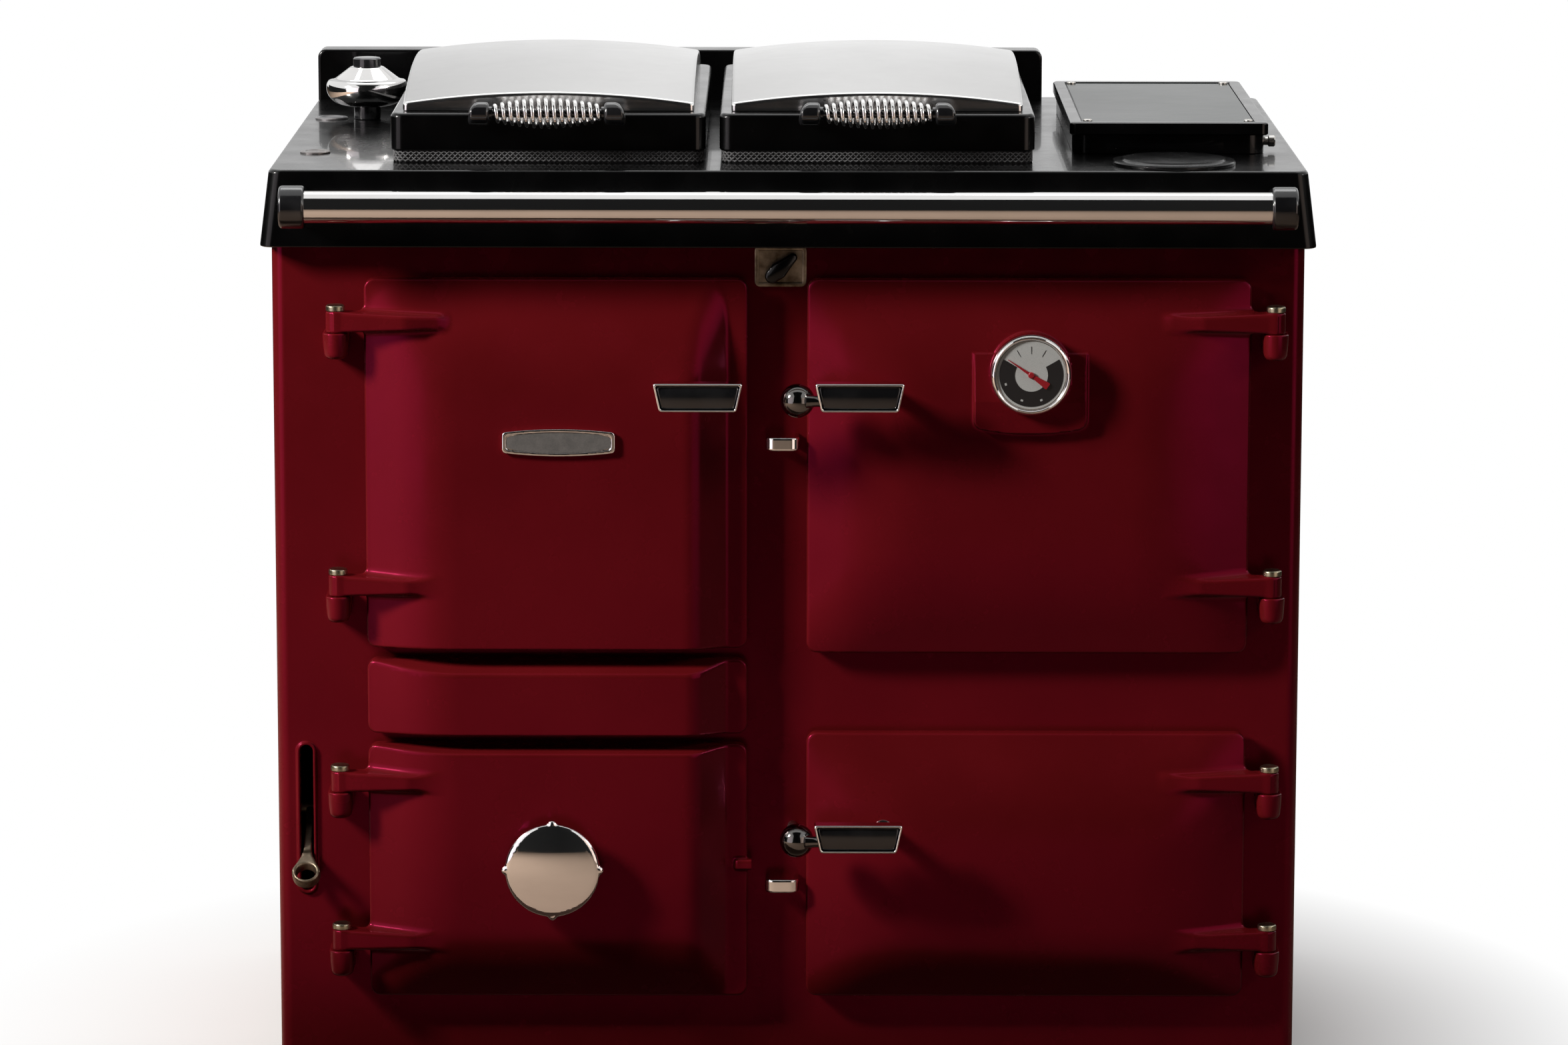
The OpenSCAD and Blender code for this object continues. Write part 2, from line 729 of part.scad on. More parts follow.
module coil() {
    path = [for (s = coil_stations()) coil_centre(s)];
    rings = len(path);
    points = [for (i = [0:rings - 1]) each wire_ring(path, i)];
    walls = [for (i = [0:rings - 2], k = [0:wire_sides - 1]) let (
            a = i * wire_sides + k,
            b = i * wire_sides + (k + 1) % wire_sides)
        each [[a, b, b + wire_sides], [a, b + wire_sides, a + wire_sides]]];
    last = (rings - 1) * wire_sides;
    caps = [for (k = [1:wire_sides - 2])
        each [[0, k + 1, k], [last, last + k, last + k + 1]]];
    gap = min([for (i = [0:rings - 1], j = [i + curl_rings - 2:rings - 1])
        if (j < rings) norm(path[i] - path[j])]) - wire_d;
    echo(coil_self_gap = gap);
    polyhedron(points = points, faces = concat(walls, caps));
}

module grip_coil(x) {
    color([0.75, 0.75, 0.75]) in_place() translate([x, grip_y, grip_z]) coil();
}

// ---- Ovens, fire and ash ----

// Five-sided cast box behind a door's opening, with ledges for a shelf.
module oven_shell(b, depth, ledge_up) {
    hole = shrink(b, opening_in);
    outer = shrink(hole, -oven_t - 2);
    inner = shrink(hole, -2);
    ledge = 10;
    difference() {
        along_y(front_t, front_t + depth) box_2d(outer, door_r);
        along_y(front_t - 1, front_t + depth - oven_t) box_2d(inner, door_r);
    }
    for (s = [0, 1]) {
        x0 = s == 0 ? inner[0] - eps : inner[1] - ledge;
        block([x0, front_t + 30, inner[2] + ledge_up - 6],
              [x0 + ledge + eps, front_t + depth - oven_t + eps, inner[2] + ledge_up]);
    }
}

module upper_oven() {
    color([0.10, 0.10, 0.11]) in_place() oven_shell(oven_box, oven_d, shelf_up);
}

module lower_oven() {
    color([0.10, 0.10, 0.11]) in_place() oven_shell(lower_box, oven_d, lower_shelf_up);
}

// Wire shelf resting on the ledges of its oven, pushed right back.
module wire_shelf(b, ledge_up) {
    inner = shrink(shrink(b, opening_in), -2);
    z = inner[2] + ledge_up + shelf_wire / 2 + face_gap;
    x0 = inner[0] + 3 + shelf_wire / 2;
    x1 = inner[1] - 3 - shelf_wire / 2;
    y1 = front_t + oven_d - oven_t - 2 - shelf_wire / 2;
    y0 = y1 - shelf_d + shelf_wire;
    bars = 9;
    color([0.62, 0.62, 0.62]) in_place() {
        for (x = [x0, x1]) rod_y(x, z, y0, y1, shelf_wire);
        for (y = [y0, y1]) rod_x(y, z, x0, x1, shelf_wire);
        for (x = [x0, x1], y = [y0, y1]) translate([x, y, z]) sphere(d = shelf_wire);
        for (i = [1:bars]) rod_y(x0 + (x1 - x0) * i / (bars + 1), z, y0, y1, shelf_wire - 2);
    }
}

module upper_shelf() {
    wire_shelf(oven_box, shelf_up);
}

module lower_shelf() {
    wire_shelf(lower_box, lower_shelf_up);
}

fire_hole = shrink(fire_box, opening_in);
ash_hole = shrink(ash_box, opening_in);
fire_d = 440;
grate_z = ash_top + grate_up;

// One casting holds the fire above and the ashpit below.
module firebox() {
    x0 = fire_hole[0] - 2 - oven_t;
    x1 = fire_hole[1] + 2 + oven_t;
    z0 = ash_hole[2] - 2 - oven_t;
    z1 = fire_hole[3] + 2 + oven_t;
    ledge = 16;
    color([0.13, 0.12, 0.12]) in_place() {
        difference() {
            block([x0, front_t, z0], [x1, front_t + fire_d, z1]);
            block([x0 + oven_t, front_t - 1, z0 + oven_t],
                  [x1 - oven_t, front_t + fire_d - oven_t, ash_hole[3] + 2]);
            block([x0 + oven_t, front_t - 1, fire_hole[2] - 2],
                  [x1 - oven_t, front_t + fire_d - oven_t, z1 - oven_t]);
            block([x0 + oven_t, front_t + oven_t, ash_hole[3]],
                  [x1 - oven_t, front_t + fire_d - oven_t, fire_hole[2]]);
        }
        for (s = [0, 1]) {
            lx = s == 0 ? x0 + oven_t - eps : x1 - oven_t - ledge;
            block([lx, front_t + oven_t - eps, grate_z - 8],
                  [lx + ledge + eps, front_t + fire_d - oven_t + eps, grate_z]);
        }
    }
}

// Lining bricks at both sides and the back of the fire.
module fire_bricks() {
    x0 = fire_hole[0] - 2;
    x1 = fire_hole[1] + 2;
    seat = 34;
    head = 40;
    z0 = grate_z + seat;
    z1 = fire_hole[3] - head;
    y1 = front_t + fire_d - oven_t;
    color([0.55, 0.45, 0.35]) in_place() {
        block([x0, front_t + 30, z0], [x0 + brick_t, y1 - brick_t, z1]);
        block([x1 - brick_t, front_t + 30, z0], [x1, y1 - brick_t, z1]);
        block([x0, y1 - brick_t, z0], [x1, y1, z1]);
    }
}

// Barred grate that the riddling lever shakes to and fro.
module grate() {
    gap = 14;
    bar = 12;
    bar_h = 14;
    side = 20;
    end = 16;
    travel_room = 34;
    x0 = fire_hole[0];
    x1 = fire_hole[1];
    y0 = front_t + oven_t + travel_room;
    y1 = front_t + fire_d - oven_t - travel_room;
    bars = floor((x1 - x0 - 2 * side) / (gap + bar));
    pitch = (x1 - x0 - 2 * side - bar) / bars;
    color([0.13, 0.12, 0.12]) in_place() translate([0, 0, grate_z + face_gap]) {
        difference() {
            block([x0, y0, 0], [x1, y1, end]);
            block([x0 + side, y0 + end, -1], [x1 - side, y1 - end, end + 1]);
        }
        for (i = [0:bars])
            block([x0 + side + pitch * i, y0 + end - 1, 0],
                  [x0 + side + pitch * i + bar, y1 - end + 1, bar_h]);
    }
}

module ashpan() {
    t = 2;
    x0 = ash_hole[0] + 8;
    x1 = ash_hole[1] - 8;
    y0 = front_t + liner_d + 56;
    y1 = front_t + fire_d - oven_t - 8;
    z0 = ash_hole[2] - 2 + face_gap;
    color([0.22, 0.22, 0.23]) in_place() {
        difference() {
            block([x0, y0, z0], [x1, y1, z0 + ashpan_h]);
            block([x0 + t, y0 + t, z0 + t], [x1 - t, y1 - t, z0 + ashpan_h + 1]);
        }
        rod_x(y0 - 20, z0 + ashpan_h - 14, (x0 + x1) / 2 - 50, (x0 + x1) / 2 + 50, 8);
        for (s = [-1, 1])
            rod_y((x0 + x1) / 2 + s * 46, z0 + ashpan_h - 14, y0 - 20, y0 + eps, 8);
    }
}

// ---- Flue ----

module flue_box() {
    color([0.04, 0.04, 0.04]) in_place() difference() {
        translate([0, 0, plate_z]) linear_extrude(flue_h) difference() {
            round_rect(flue_x, flue_r, flue_y, flue_y + flue_d, 16);
            round_rect(flue_x + flue_t, flue_r - flue_t, flue_y + flue_t,
                       flue_y + flue_d - flue_t, 10);
        }
        rod_x(flue_y + 30, plate_z + flue_h / 2, flue_r - flue_t - 1, flue_r + 1,
              rod_d + 2 * running);
    }
}

module flue_cover() {
    rim = 12;
    side_over = 3;
    color([0.05, 0.05, 0.05]) in_place() difference() {
        translate([0, 0, flue_top]) linear_extrude(cover_t)
            round_rect(flue_x - side_over, flue_r + side_over, flue_y - cover_over,
                       flue_y + flue_d + side_over, 6);
        translate([0, 0, cover_top - 4]) linear_extrude(5)
            round_rect(flue_x - side_over + rim, flue_r + side_over - rim,
                       flue_y - cover_over + rim, flue_y + flue_d + side_over - rim, 3);
        for (p = screw_spots()) translate([p[0], p[1], flue_top - 1]) cylinder(d = 5, h = cover_t);
    }
}

function screw_spots() = [for (x = [flue_x + 15, flue_r - 15],
    y = [flue_y + 15, flue_y + flue_d - 15]) [x, y]];

module cover_screws() {
    color([0.60, 0.60, 0.60]) in_place() for (p = screw_spots())
        translate([p[0], p[1], cover_top - 4]) {
            cylinder(d = 9, h = 3);
            translate([0, 0, 4 - cover_t]) cylinder(d = 5, h = cover_t - 4);
        }
}

// Damper rod: pulled out to the right to open the flap inside the flue.
module damper_rod() {
    z = plate_z + flue_h / 2;
    y = flue_y + 30;
    stop = 12;
    color([0.70, 0.70, 0.70]) in_place() {
        rod_x(y, z, flue_r - flue_t - 60, flue_r + 10, rod_d);
        rod_x(y, z, flue_r + 6, flue_r + 12, rod_d + 3);
        rod_x(y, z, flue_r - flue_t - 60, flue_r - flue_t - 60 + stop, rod_d + 4);
    }
}

module cleaning_cover() {
    color([0.03, 0.03, 0.03]) in_place() translate([clean_mid[0], clean_mid[1], plate_z]) {
        cylinder(d = clean_d, h = 4);
        translate([0, 0, 4 - eps]) cylinder(d = clean_d - 18, h = 2);
        translate([0, 0, -plate_t + 4]) cylinder(d = clean_d - 41, h = plate_t - 4);
    }
}

module plate_plugs() {
    color([0.45, 0.45, 0.45]) in_place() for (p = plug_spots) translate([p[0], p[1], plate_z]) {
        cylinder(d = p[2], h = 2);
        translate([0, 0, -plate_t + 2]) cylinder(d = p[2] - 9, h = plate_t - 2 + eps);
    }
}

// ---- Rail and controls ----

module handrail() {
    color([0.78, 0.78, 0.78]) in_place() difference() {
        rod_x(-rail_y, rail_z, -rail_l / 2 - 12, rail_l / 2 + 12, rail_d);
        rod_x(-rail_y, rail_z, -rail_l / 2 - 13, rail_l / 2 + 13, rail_d - 5);
    }
}

module rail_brackets() {
    color([0.04, 0.04, 0.04]) in_place() difference() {
        for (s = [0, 1]) mirror([s, 0, 0]) {
            rod_x(-rail_y, rail_z, rail_l / 2, rail_l / 2 + rail_bracket_w, rail_head_d);
            block([rail_l / 2, -rail_y, rail_z - rail_head_d / 2],
                  [rail_l / 2 + rail_bracket_w, -apron_front + apron_flare, rail_z + 14]);
        }
        rod_x(-rail_y, rail_z, -rail_l / 2 - 12, rail_l / 2 + 12, rail_d);
        plate_outer();
    }
}

module plate_knob() {
    band_z = plate_z + knob_lift;
    nub_count = 12;
    color([0.75, 0.75, 0.75]) in_place() translate([knob_mid[0], knob_mid[1], 0]) {
        translate([0, 0, band_z]) cylinder(d = knob_d - 8, h = knob_band_h);
        for (i = [0:nub_count - 1]) rotate(360 * i / nub_count)
            translate([knob_d / 2 - 5, 0, band_z + 2]) cylinder(d = 10, h = knob_band_h - 4, $fn = 24);
        translate([0, 0, band_z + knob_band_h - eps])
            cylinder(d1 = knob_d - 16, d2 = knob_cap_d + 4, h = knob_cone_h);
        translate([0, 0, band_z + knob_band_h + knob_cone_h - 2 * eps])
            cylinder(d = knob_cap_d, h = knob_cap_h);
        translate([0, 0, plate_z + face_gap]) cylinder(d = knob_stem_d, h = knob_lift);
        translate([0, 0, body_top - 4]) cylinder(d = 12, h = plate_t + 6);
    }
}

module damper_plate() {
    color([0.45, 0.36, 0.28]) in_place() {
        along_y(-3, 0) round_rect(mullion_x + 3 - escutcheon_w / 2, mullion_x + 3 + escutcheon_w / 2,
                                  plate_z - 111, apron_z - face_gap, 4);
        rod_y(mullion_x + 1, plate_z - 95, -12, -3 + eps, 8);
    }
}

module damper_lever() {
    px = mullion_x + 1;
    pz = plate_z - 95;
    color([0.10, 0.10, 0.10]) in_place() difference() {
        union() {
            rod_y(px, pz, -11, -3 - face_gap, 15);
            translate([px, -3 - face_gap, pz]) rotate([90, 0, 0])
                linear_extrude(5) rotate(42) translate([0, -4]) square([22, 8]);
        }
        rod_y(px, pz, -13, 0, 8 + 2 * running);
    }
}

// Riddling lever: a blade through the slot that spreads into an eye for the operating tool,
// on a cross shaft behind the front plate. At rest it lies on the slot's lower end.
module riddling_lever() {
    blade_w = 8;
    blade_h = 10;
    eye_h = 12;
    eye_r = 13;
    eye_bore = 19;
    neck = lever_y + 18;
    reach = neck + 20;
    color([0.35, 0.27, 0.20]) in_place() {
        rod_x(lever_y, slot_z, slot_mid - slot_w / 2 - 6, fire_hole[0] - 2 - oven_t - 1, lever_shaft_d);
        translate([slot_mid, lever_y, slot_z]) rotate([lever_tilt, 0, 0]) difference() {
            union() {
                block([-blade_w / 2, -neck - eps, -blade_h / 2], [blade_w / 2, 6, blade_h / 2]);
                translate([0, 0, -eye_h / 2]) linear_extrude(eye_h) {
                    polygon([[blade_w / 2, -neck], [-blade_w / 2, -neck],
                             [-eye_r, 3 - reach], [eye_r, 3 - reach]]);
                    translate([0, -reach]) circle(eye_r);
                }
            }
            translate([0, -reach, -eye_h]) cylinder(d = eye_bore, h = 2 * eye_h);
        }
    }
}

// ---- Hinges and catches ----

module hinge_brackets() {
    color([0.30, 0.02, 0.04]) in_place() difference() {
        for (h = concat([for (z = concat(hinges_upper, hinges_lower)) [pin_left, z]],
                        [for (z = concat(hinges_upper, hinges_lower)) [pin_right, z]])) {
            z1 = h[1] - arm_h / 2 - face_gap;
            translate([h[0], -hinge_y, z1 - knuckle_h]) cylinder(d = knuckle_w, h = knuckle_h);
            block([h[0] - knuckle_w / 2, -hinge_y, z1 - knuckle_h], [h[0] + knuckle_w / 2, 0, z1]);
        }
        for (x = [pin_left, pin_right])
            translate([x, -hinge_y, plinth_h]) cylinder(d = pin_d, h = body_top - plinth_h);
    }
}

module hinge_pins() {
    color([0.65, 0.65, 0.66]) in_place()
        for (x = [pin_left, pin_right], z = concat(hinges_upper, hinges_lower))
            translate([x, -hinge_y, z]) {
                translate([0, 0, -arm_h / 2 - face_gap - knuckle_h])
                    cylinder(d = pin_d, h = arm_h + knuckle_h + 2 * face_gap + 1);
                translate([0, 0, arm_h / 2 + face_gap]) cylinder(d = pin_head_d, h = pin_head_h);
            }
}

// Two strap staples on the mullion, and the stops behind the oven handles' balls.
module door_catches() {
    color([0.72, 0.72, 0.72]) in_place() {
        for (z = [staple_upper_z, staple_lower_z])
            translate([mullion_x + 5, 0, z - staple_h / 2]) linear_extrude(staple_h) difference() {
                round_rect(-staple_w / 2, staple_w / 2, -staple_out, 10, 9);
                round_rect(staple_t - staple_w / 2, staple_w / 2 - staple_t,
                           staple_t - staple_out, 10, 5);
                translate([-staple_w, 0]) square([2 * staple_w, 11]);
            }
        for (z = [handle_upper_z, handle_lower_z])
            rod_y(ball_x - 4, z - 6, rim_y - 6, 0, 10);
    }
}

// ---- Doors ----

// Upright rim and raised face joined by bevels, with a strip of flat rim on the right.
module crowned(b, v, strip, back) {
    inner = [b[0], b[1] - strip, b[2], b[3]];
    hull() {
        $fn = hull_fn;
        along_y(rim_y, back) box_2d(inner, door_r);
        along_y(face_y, face_y + 1)
            round_rect(b[0] + v[0], inner[1] - v[1], b[2] + v[2], b[3] - v[3], door_r);
    }
    if (strip > 0) along_y(rim_y, back) box_2d(b, door_r);
}

// Crowned casting, hollow behind.
module door_shell(b, v, strip) {
    least = 14;
    pocket = [max(v[0], least), max(v[1] + strip, least), max(v[2], least), max(v[3], least)];
    difference() {
        crowned(b, v, strip, door_y0);
        block([b[0] + pocket[0], face_y + door_wall, b[2] + pocket[2]],
              [b[1] - pocket[1], door_y0 + 1, b[3] - pocket[3]]);
    }
}

// Tapered hinge arm from its eye at the pin, run on over the door's face.
module hinge_arm(pin_x, inward, z) {
    hull() {
        $fn = hull_fn;
        translate([pin_x, -hinge_y, z - arm_h / 2]) cylinder(d = arm_eye_d, h = arm_h);
        translate([pin_x + inward * arm_run - 1, face_y, z - arm_h / 2 + 3])
            cube([2, 12, arm_h - 6]);
    }
}

module hung_door(b, v, pin_x, inward, heights, strip = 0) {
    difference() {
        union() {
            door_shell(b, v, strip);
            for (z = heights) hinge_arm(pin_x, inward, z);
        }
        translate([pin_x, -hinge_y, b[2]]) cylinder(d = pin_d + 2 * running, h = b[3] - b[2]);
        children();
    }
}

// Pan on a door's back that closes its opening; its insulation is left out.
module door_lining(b) {
    edge = opening_in + liner_clear;
    color([0.14, 0.14, 0.14]) in_place() difference() {
        along_y(door_y0, liner_d) box_2d(shrink(b, edge), door_r);
        along_y(door_y0 - 1, liner_d - liner_t) box_2d(shrink(b, edge + liner_t), door_r - 1);
    }
}

module fire_door() {
    color([0.30, 0.02, 0.04]) in_place()
        hung_door(fire_box, fire_bevels, pin_left, 1, hinges_upper, rim_strip)
            rod_y(fire_handle_x + handle_pivot, handle_upper_z, face_y - 1, face_y + door_wall + 1,
                  spindle_d + 2 * running);
}

module fire_door_liner() {
    door_lining(fire_box);
}

module ash_door() {
    tongue_l = 21;
    color([0.30, 0.02, 0.04]) in_place() {
        hung_door(ash_box, ash_bevels, pin_left, 1, hinges_lower, rim_strip) {
            rod_y(wheel_mid, wheel_z, face_y - 1, face_y + door_wall + 1, 10 + 2 * running);
            for (a = [45:90:315])
                rod_y(wheel_mid + 30 * cos(a), wheel_z + 30 * sin(a), face_y - 1,
                      face_y + door_wall + 1, 20);
        }
        block([left_r - 12, rim_y - 6, staple_lower_z + staple_h / 2 + 8],
              [left_r + tongue_l, rim_y + 4, staple_lower_z + staple_h / 2 + 18]);
    }
}

module upper_oven_door() {
    pad_down = 52;
    pad_up = 10;
    color([0.30, 0.02, 0.04]) in_place() {
        hung_door(oven_box, oven_bevels, pin_right, -1, hinges_upper)
            rod_y(oven_handle_x + handle_w - handle_pivot, handle_upper_z, face_y - 1,
                  face_y + door_wall + 8, spindle_d + 2 * running);
        rod_y(dial_mid, dial_z, pad_y, face_y + door_wall, dial_d);
        along_y(pad_y, face_y + eps)
            round_rect(dial_mid - pad_w / 2, dial_mid + pad_w / 2, dial_z - pad_down,
                       dial_z + pad_up, 6);
    }
}

module upper_oven_liner() {
    door_lining(oven_box);
}

module lower_oven_door() {
    color([0.30, 0.02, 0.04]) in_place()
        hung_door(lower_box, lower_bevels, pin_right, -1, hinges_lower)
            rod_y(oven_handle_x + handle_w - handle_pivot, handle_lower_z, face_y - 1,
                  face_y + door_wall + 8, spindle_d + 2 * running);
}

module lower_oven_liner() {
    door_lining(lower_box);
}

// Outline of a handle's tray, wider at the top, drawn in by a margin.
module tray_2d(x, z, m) {
    polygon([[x + handle_slant + m, z - handle_h / 2 + m],
             [x + handle_w - handle_slant - m, z - handle_h / 2 + m],
             [x + handle_w - m, z + handle_h / 2 - m], [x + m, z + handle_h / 2 - m]]);
}

// Tray with its spindle, which turns in the door.
module handle_tray(x, z, spindle_x) {
    difference() {
        along_y(handle_y1, handle_y0) tray_2d(x, z, 0);
        along_y(handle_y1 - 1, handle_y0 - handle_t) tray_2d(x, z, handle_t);
    }
    rod_y(spindle_x, z, handle_y0 - eps, face_y + door_wall - 1, spindle_d);
}

module handle_insert(x, z) {
    color([0.05, 0.05, 0.05]) in_place()
        along_y(handle_y1 + 2, handle_y0 - handle_t) tray_2d(x, z, handle_t);
}

// Ball at the free end of an oven handle, with its shank to the tray.
module handle_ball(z) {
    translate([ball_x, ball_y, z - 5]) sphere(d = ball_d);
    rod_x(handle_y0 - handle_d / 2, z - 4, ball_x, oven_handle_x + 8, 10);
}

module fire_handle() {
    color([0.75, 0.75, 0.75]) in_place()
        handle_tray(fire_handle_x, handle_upper_z, fire_handle_x + handle_pivot);
}

module fire_grip() {
    handle_insert(fire_handle_x, handle_upper_z);
}

module oven_handle(z) {
    color([0.75, 0.75, 0.75]) in_place() difference() {
        union() {
            handle_tray(oven_handle_x, z, oven_handle_x + handle_w - handle_pivot);
            handle_ball(z);
        }
        along_y(handle_y1 - 1, handle_y0 - handle_t) tray_2d(oven_handle_x, z, handle_t);
    }
}

module upper_handle() {
    oven_handle(handle_upper_z);
}

module upper_grip() {
    handle_insert(oven_handle_x, handle_upper_z);
}

module lower_handle() {
    oven_handle(handle_lower_z);
}

module lower_grip() {
    handle_insert(oven_handle_x, handle_lower_z);
}

module badge() {
    c = 6;
    w = badge_w / 2;
    h = badge_h / 2;
    color([0.70, 0.70, 0.71]) in_place() along_y(face_y - badge_t, face_y)
        translate([badge_mid, badge_z])
            polygon([[c - w, -h], [w - c, -h], [w, c - h], [w, h - c],
                     [w - c, h], [c - w, h], [-w, h - c], [-w, c - h]]);
}

module dial_bezel() {
    color([0.75, 0.75, 0.75]) in_place() difference() {
        rod_y(dial_mid, dial_z, pad_y - dial_h, pad_y, dial_d);
        rod_y(dial_mid, dial_z, pad_y - dial_h - 1, dial_face_y, dial_d - 12);
    }
}

module dial_face() {
    color([0.92, 0.92, 0.90]) in_place() {
        rod_y(dial_mid, dial_z, dial_face_y - 1, dial_face_y, dial_d - 12.4);
        rod_y(dial_mid, dial_z, dial_face_y - 4, dial_face_y - 1 + eps, 3);
    }
}

module dial_needle() {
    needle_at = 146;
    color([0.70, 0.05, 0.05]) in_place() translate([dial_mid, dial_face_y - 1 - face_gap, dial_z])
        rotate([90, 0, 0]) rotate(needle_at) difference() {
            union() {
                linear_extrude(1) polygon([[-18, -2.5], [26, -0.6], [26, 0.6], [-18, 2.5]]);
                cylinder(d = 8, h = 1);
            }
            translate([0, 0, -1]) cylinder(d = 3 + 2 * running, h = 3);
        }
}

module air_wheel() {
    nub = 4;
    color([0.75, 0.75, 0.75]) in_place() {
        rod_y(wheel_mid, wheel_z, wheel_y - wheel_t, wheel_y, wheel_d);
        for (i = [0:3]) translate([wheel_mid, wheel_y - wheel_t / 2, wheel_z])
            rotate([0, 90 * i, 0]) translate([wheel_d / 2, 0, 0]) rotate([90, 0, 0])
                cylinder(d = 2 * nub, h = wheel_t - 2, center = true);
        translate([wheel_mid, wheel_y - wheel_t + eps, wheel_z]) rotate([90, 0, 0])
            cylinder(d1 = wheel_d - 6, d2 = wheel_d / 2, h = 5);
        rod_y(wheel_mid, wheel_z, wheel_y - eps, door_y0 + 14, 10);
    }
}

// Disc on the wheel's thread; it leaves its seat inside the ash door as the wheel turns.
module air_valve() {
    y0 = face_y + door_wall + face_gap;
    color([0.16, 0.15, 0.15]) in_place() difference() {
        union() {
            rod_y(wheel_mid, wheel_z, y0, y0 + 5, valve_d);
            rod_y(wheel_mid, wheel_z, y0 + 5 - eps, y0 + 14, 24);
        }
        rod_y(wheel_mid, wheel_z, y0 - 1, y0 + 15, 10 + 2 * running);
    }
}

module infill_strip() {
    color([0.30, 0.02, 0.04]) in_place() crowned(strip_box, strip_bevels, rim_strip, 0);
}

// ---- Lids ----

module left_lid_frame() { lid_frame(lid_left_x); }
module left_lid_dome() { lid_dome(lid_left_x); }
module left_grip_rod() { grip_rod(lid_left_x); }
module left_grip_coil() { grip_coil(lid_left_x); }
module right_lid_frame() { lid_frame(lid_right_x); }
module right_lid_dome() { lid_dome(lid_right_x); }
module right_grip_rod() { grip_rod(lid_right_x); }
module right_grip_coil() { grip_coil(lid_right_x); }

plinth();
side_panels();
front_plate();
back_panel();
top_plate();
upstand();
infill_strip();
hotplates();
hotplate_seals();
upper_oven();
lower_oven();
firebox();
fire_bricks();
grate();
ashpan();
upper_shelf();
lower_shelf();
flue_box();
flue_cover();
cover_screws();
damper_rod();
cleaning_cover();
plate_plugs();
plate_knob();
handrail();
rail_brackets();
hinge_brackets();
hinge_pins();
door_catches();
damper_plate();
damper_lever();
riddling_lever();
lid_hinges();
fire_door();
fire_door_liner();
fire_handle();
fire_grip();
badge();
ash_door();
air_wheel();
air_valve();
upper_oven_door();
upper_oven_liner();
upper_handle();
upper_grip();
dial_bezel();
dial_face();
dial_needle();
lower_oven_door();
lower_oven_liner();
lower_handle();
lower_grip();
left_lid_frame();
left_lid_dome();
left_grip_rod();
left_grip_coil();
right_lid_frame();
right_lid_dome();
right_grip_rod();
right_grip_coil();
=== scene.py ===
"""Looks of the cast iron range cooker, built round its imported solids."""

import json
import math
from functools import cached_property

import bpy
import numpy as np
from mathutils import Matrix, Vector


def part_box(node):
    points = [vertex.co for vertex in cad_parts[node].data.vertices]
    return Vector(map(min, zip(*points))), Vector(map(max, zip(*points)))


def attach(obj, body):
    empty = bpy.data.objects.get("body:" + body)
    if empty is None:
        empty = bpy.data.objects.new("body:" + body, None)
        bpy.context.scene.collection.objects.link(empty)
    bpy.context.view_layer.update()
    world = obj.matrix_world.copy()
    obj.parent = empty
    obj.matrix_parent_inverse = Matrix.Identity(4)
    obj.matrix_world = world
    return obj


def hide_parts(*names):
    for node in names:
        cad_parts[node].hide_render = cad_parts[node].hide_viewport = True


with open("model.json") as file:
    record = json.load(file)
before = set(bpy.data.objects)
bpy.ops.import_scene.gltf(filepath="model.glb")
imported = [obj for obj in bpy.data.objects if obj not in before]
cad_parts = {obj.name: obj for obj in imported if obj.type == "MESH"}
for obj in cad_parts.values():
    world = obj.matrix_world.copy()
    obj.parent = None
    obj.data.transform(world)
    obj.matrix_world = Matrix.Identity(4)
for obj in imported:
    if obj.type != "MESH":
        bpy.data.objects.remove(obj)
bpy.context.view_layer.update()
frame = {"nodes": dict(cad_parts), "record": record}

# ---- Frame and main sizes: millimetres, with y = 0 on the front plate's face ----

MM = 0.001
FRONT_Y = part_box("side_panels")[0].y
FACE_Y, RIM_Y, BACK_Y = -42.0, -18.0, -4.0  # of the doors
TURN, QUARTER = 2 * math.pi, math.pi / 2


def span(node):
    """Lowest and highest corner of a solid, in millimetres from the front plate."""
    low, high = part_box(node)
    shift = np.array([0, FRONT_Y, 0])
    return (np.array(low) - shift) / MM, (np.array(high) - shift) / MM


def extent(node):
    """Lowest and highest corner of a solid, its middle and half its size."""
    low, high = span(node)
    return low, high, (low + high) / 2, (high - low) / 2


PLATE_LOW, PLATE_HIGH = span("top_plate")
PLATE_Z = PLATE_HIGH[2]
APRON_Z = PLATE_LOW[2]
SIDE_LOW, SIDE_HIGH = span("side_panels")


def place_object(name, data):
    """A new object in the scene."""
    made = bpy.data.objects.new(name, data)
    bpy.context.scene.collection.objects.link(made)
    return made


# ---- Camera ----

def add_camera():
    """The photograph's own viewpoint: lens, place and three small turns fitted to it."""
    place, lens, width = (-0.00033, -6.04841, 1.58002), 142.13, 36.0
    pitch, roll, yaw = 0.17350, 0.00157, 0.00055
    data = bpy.data.cameras.new("camera")
    data.lens, data.sensor_width, data.clip_end = lens, width, 60
    camera = place_object("camera", data)
    camera.matrix_world = (
        Matrix.Translation(place) @ Matrix.Rotation(yaw, 4, "Z")
        @ Matrix.Rotation(QUARTER - pitch, 4, "X") @ Matrix.Rotation(roll, 4, "Z"))
    bpy.context.scene.camera = camera


add_camera()


# ---- Materials ----

SKINS = {}


class Socket:
    """A value in a material's nodes. Arithmetic on it adds Math nodes."""

    def __init__(self, skin, output):
        self.skin, self.output = skin, output

    def math(self, operation, other):
        return self.skin.add("Math", {0: self, 1: other}, operation=operation)

    def __add__(self, other):
        return self.math("ADD", other)

    def __sub__(self, other):
        return self.math("SUBTRACT", other)

    def __mul__(self, other):
        return self.math("MULTIPLY", other)


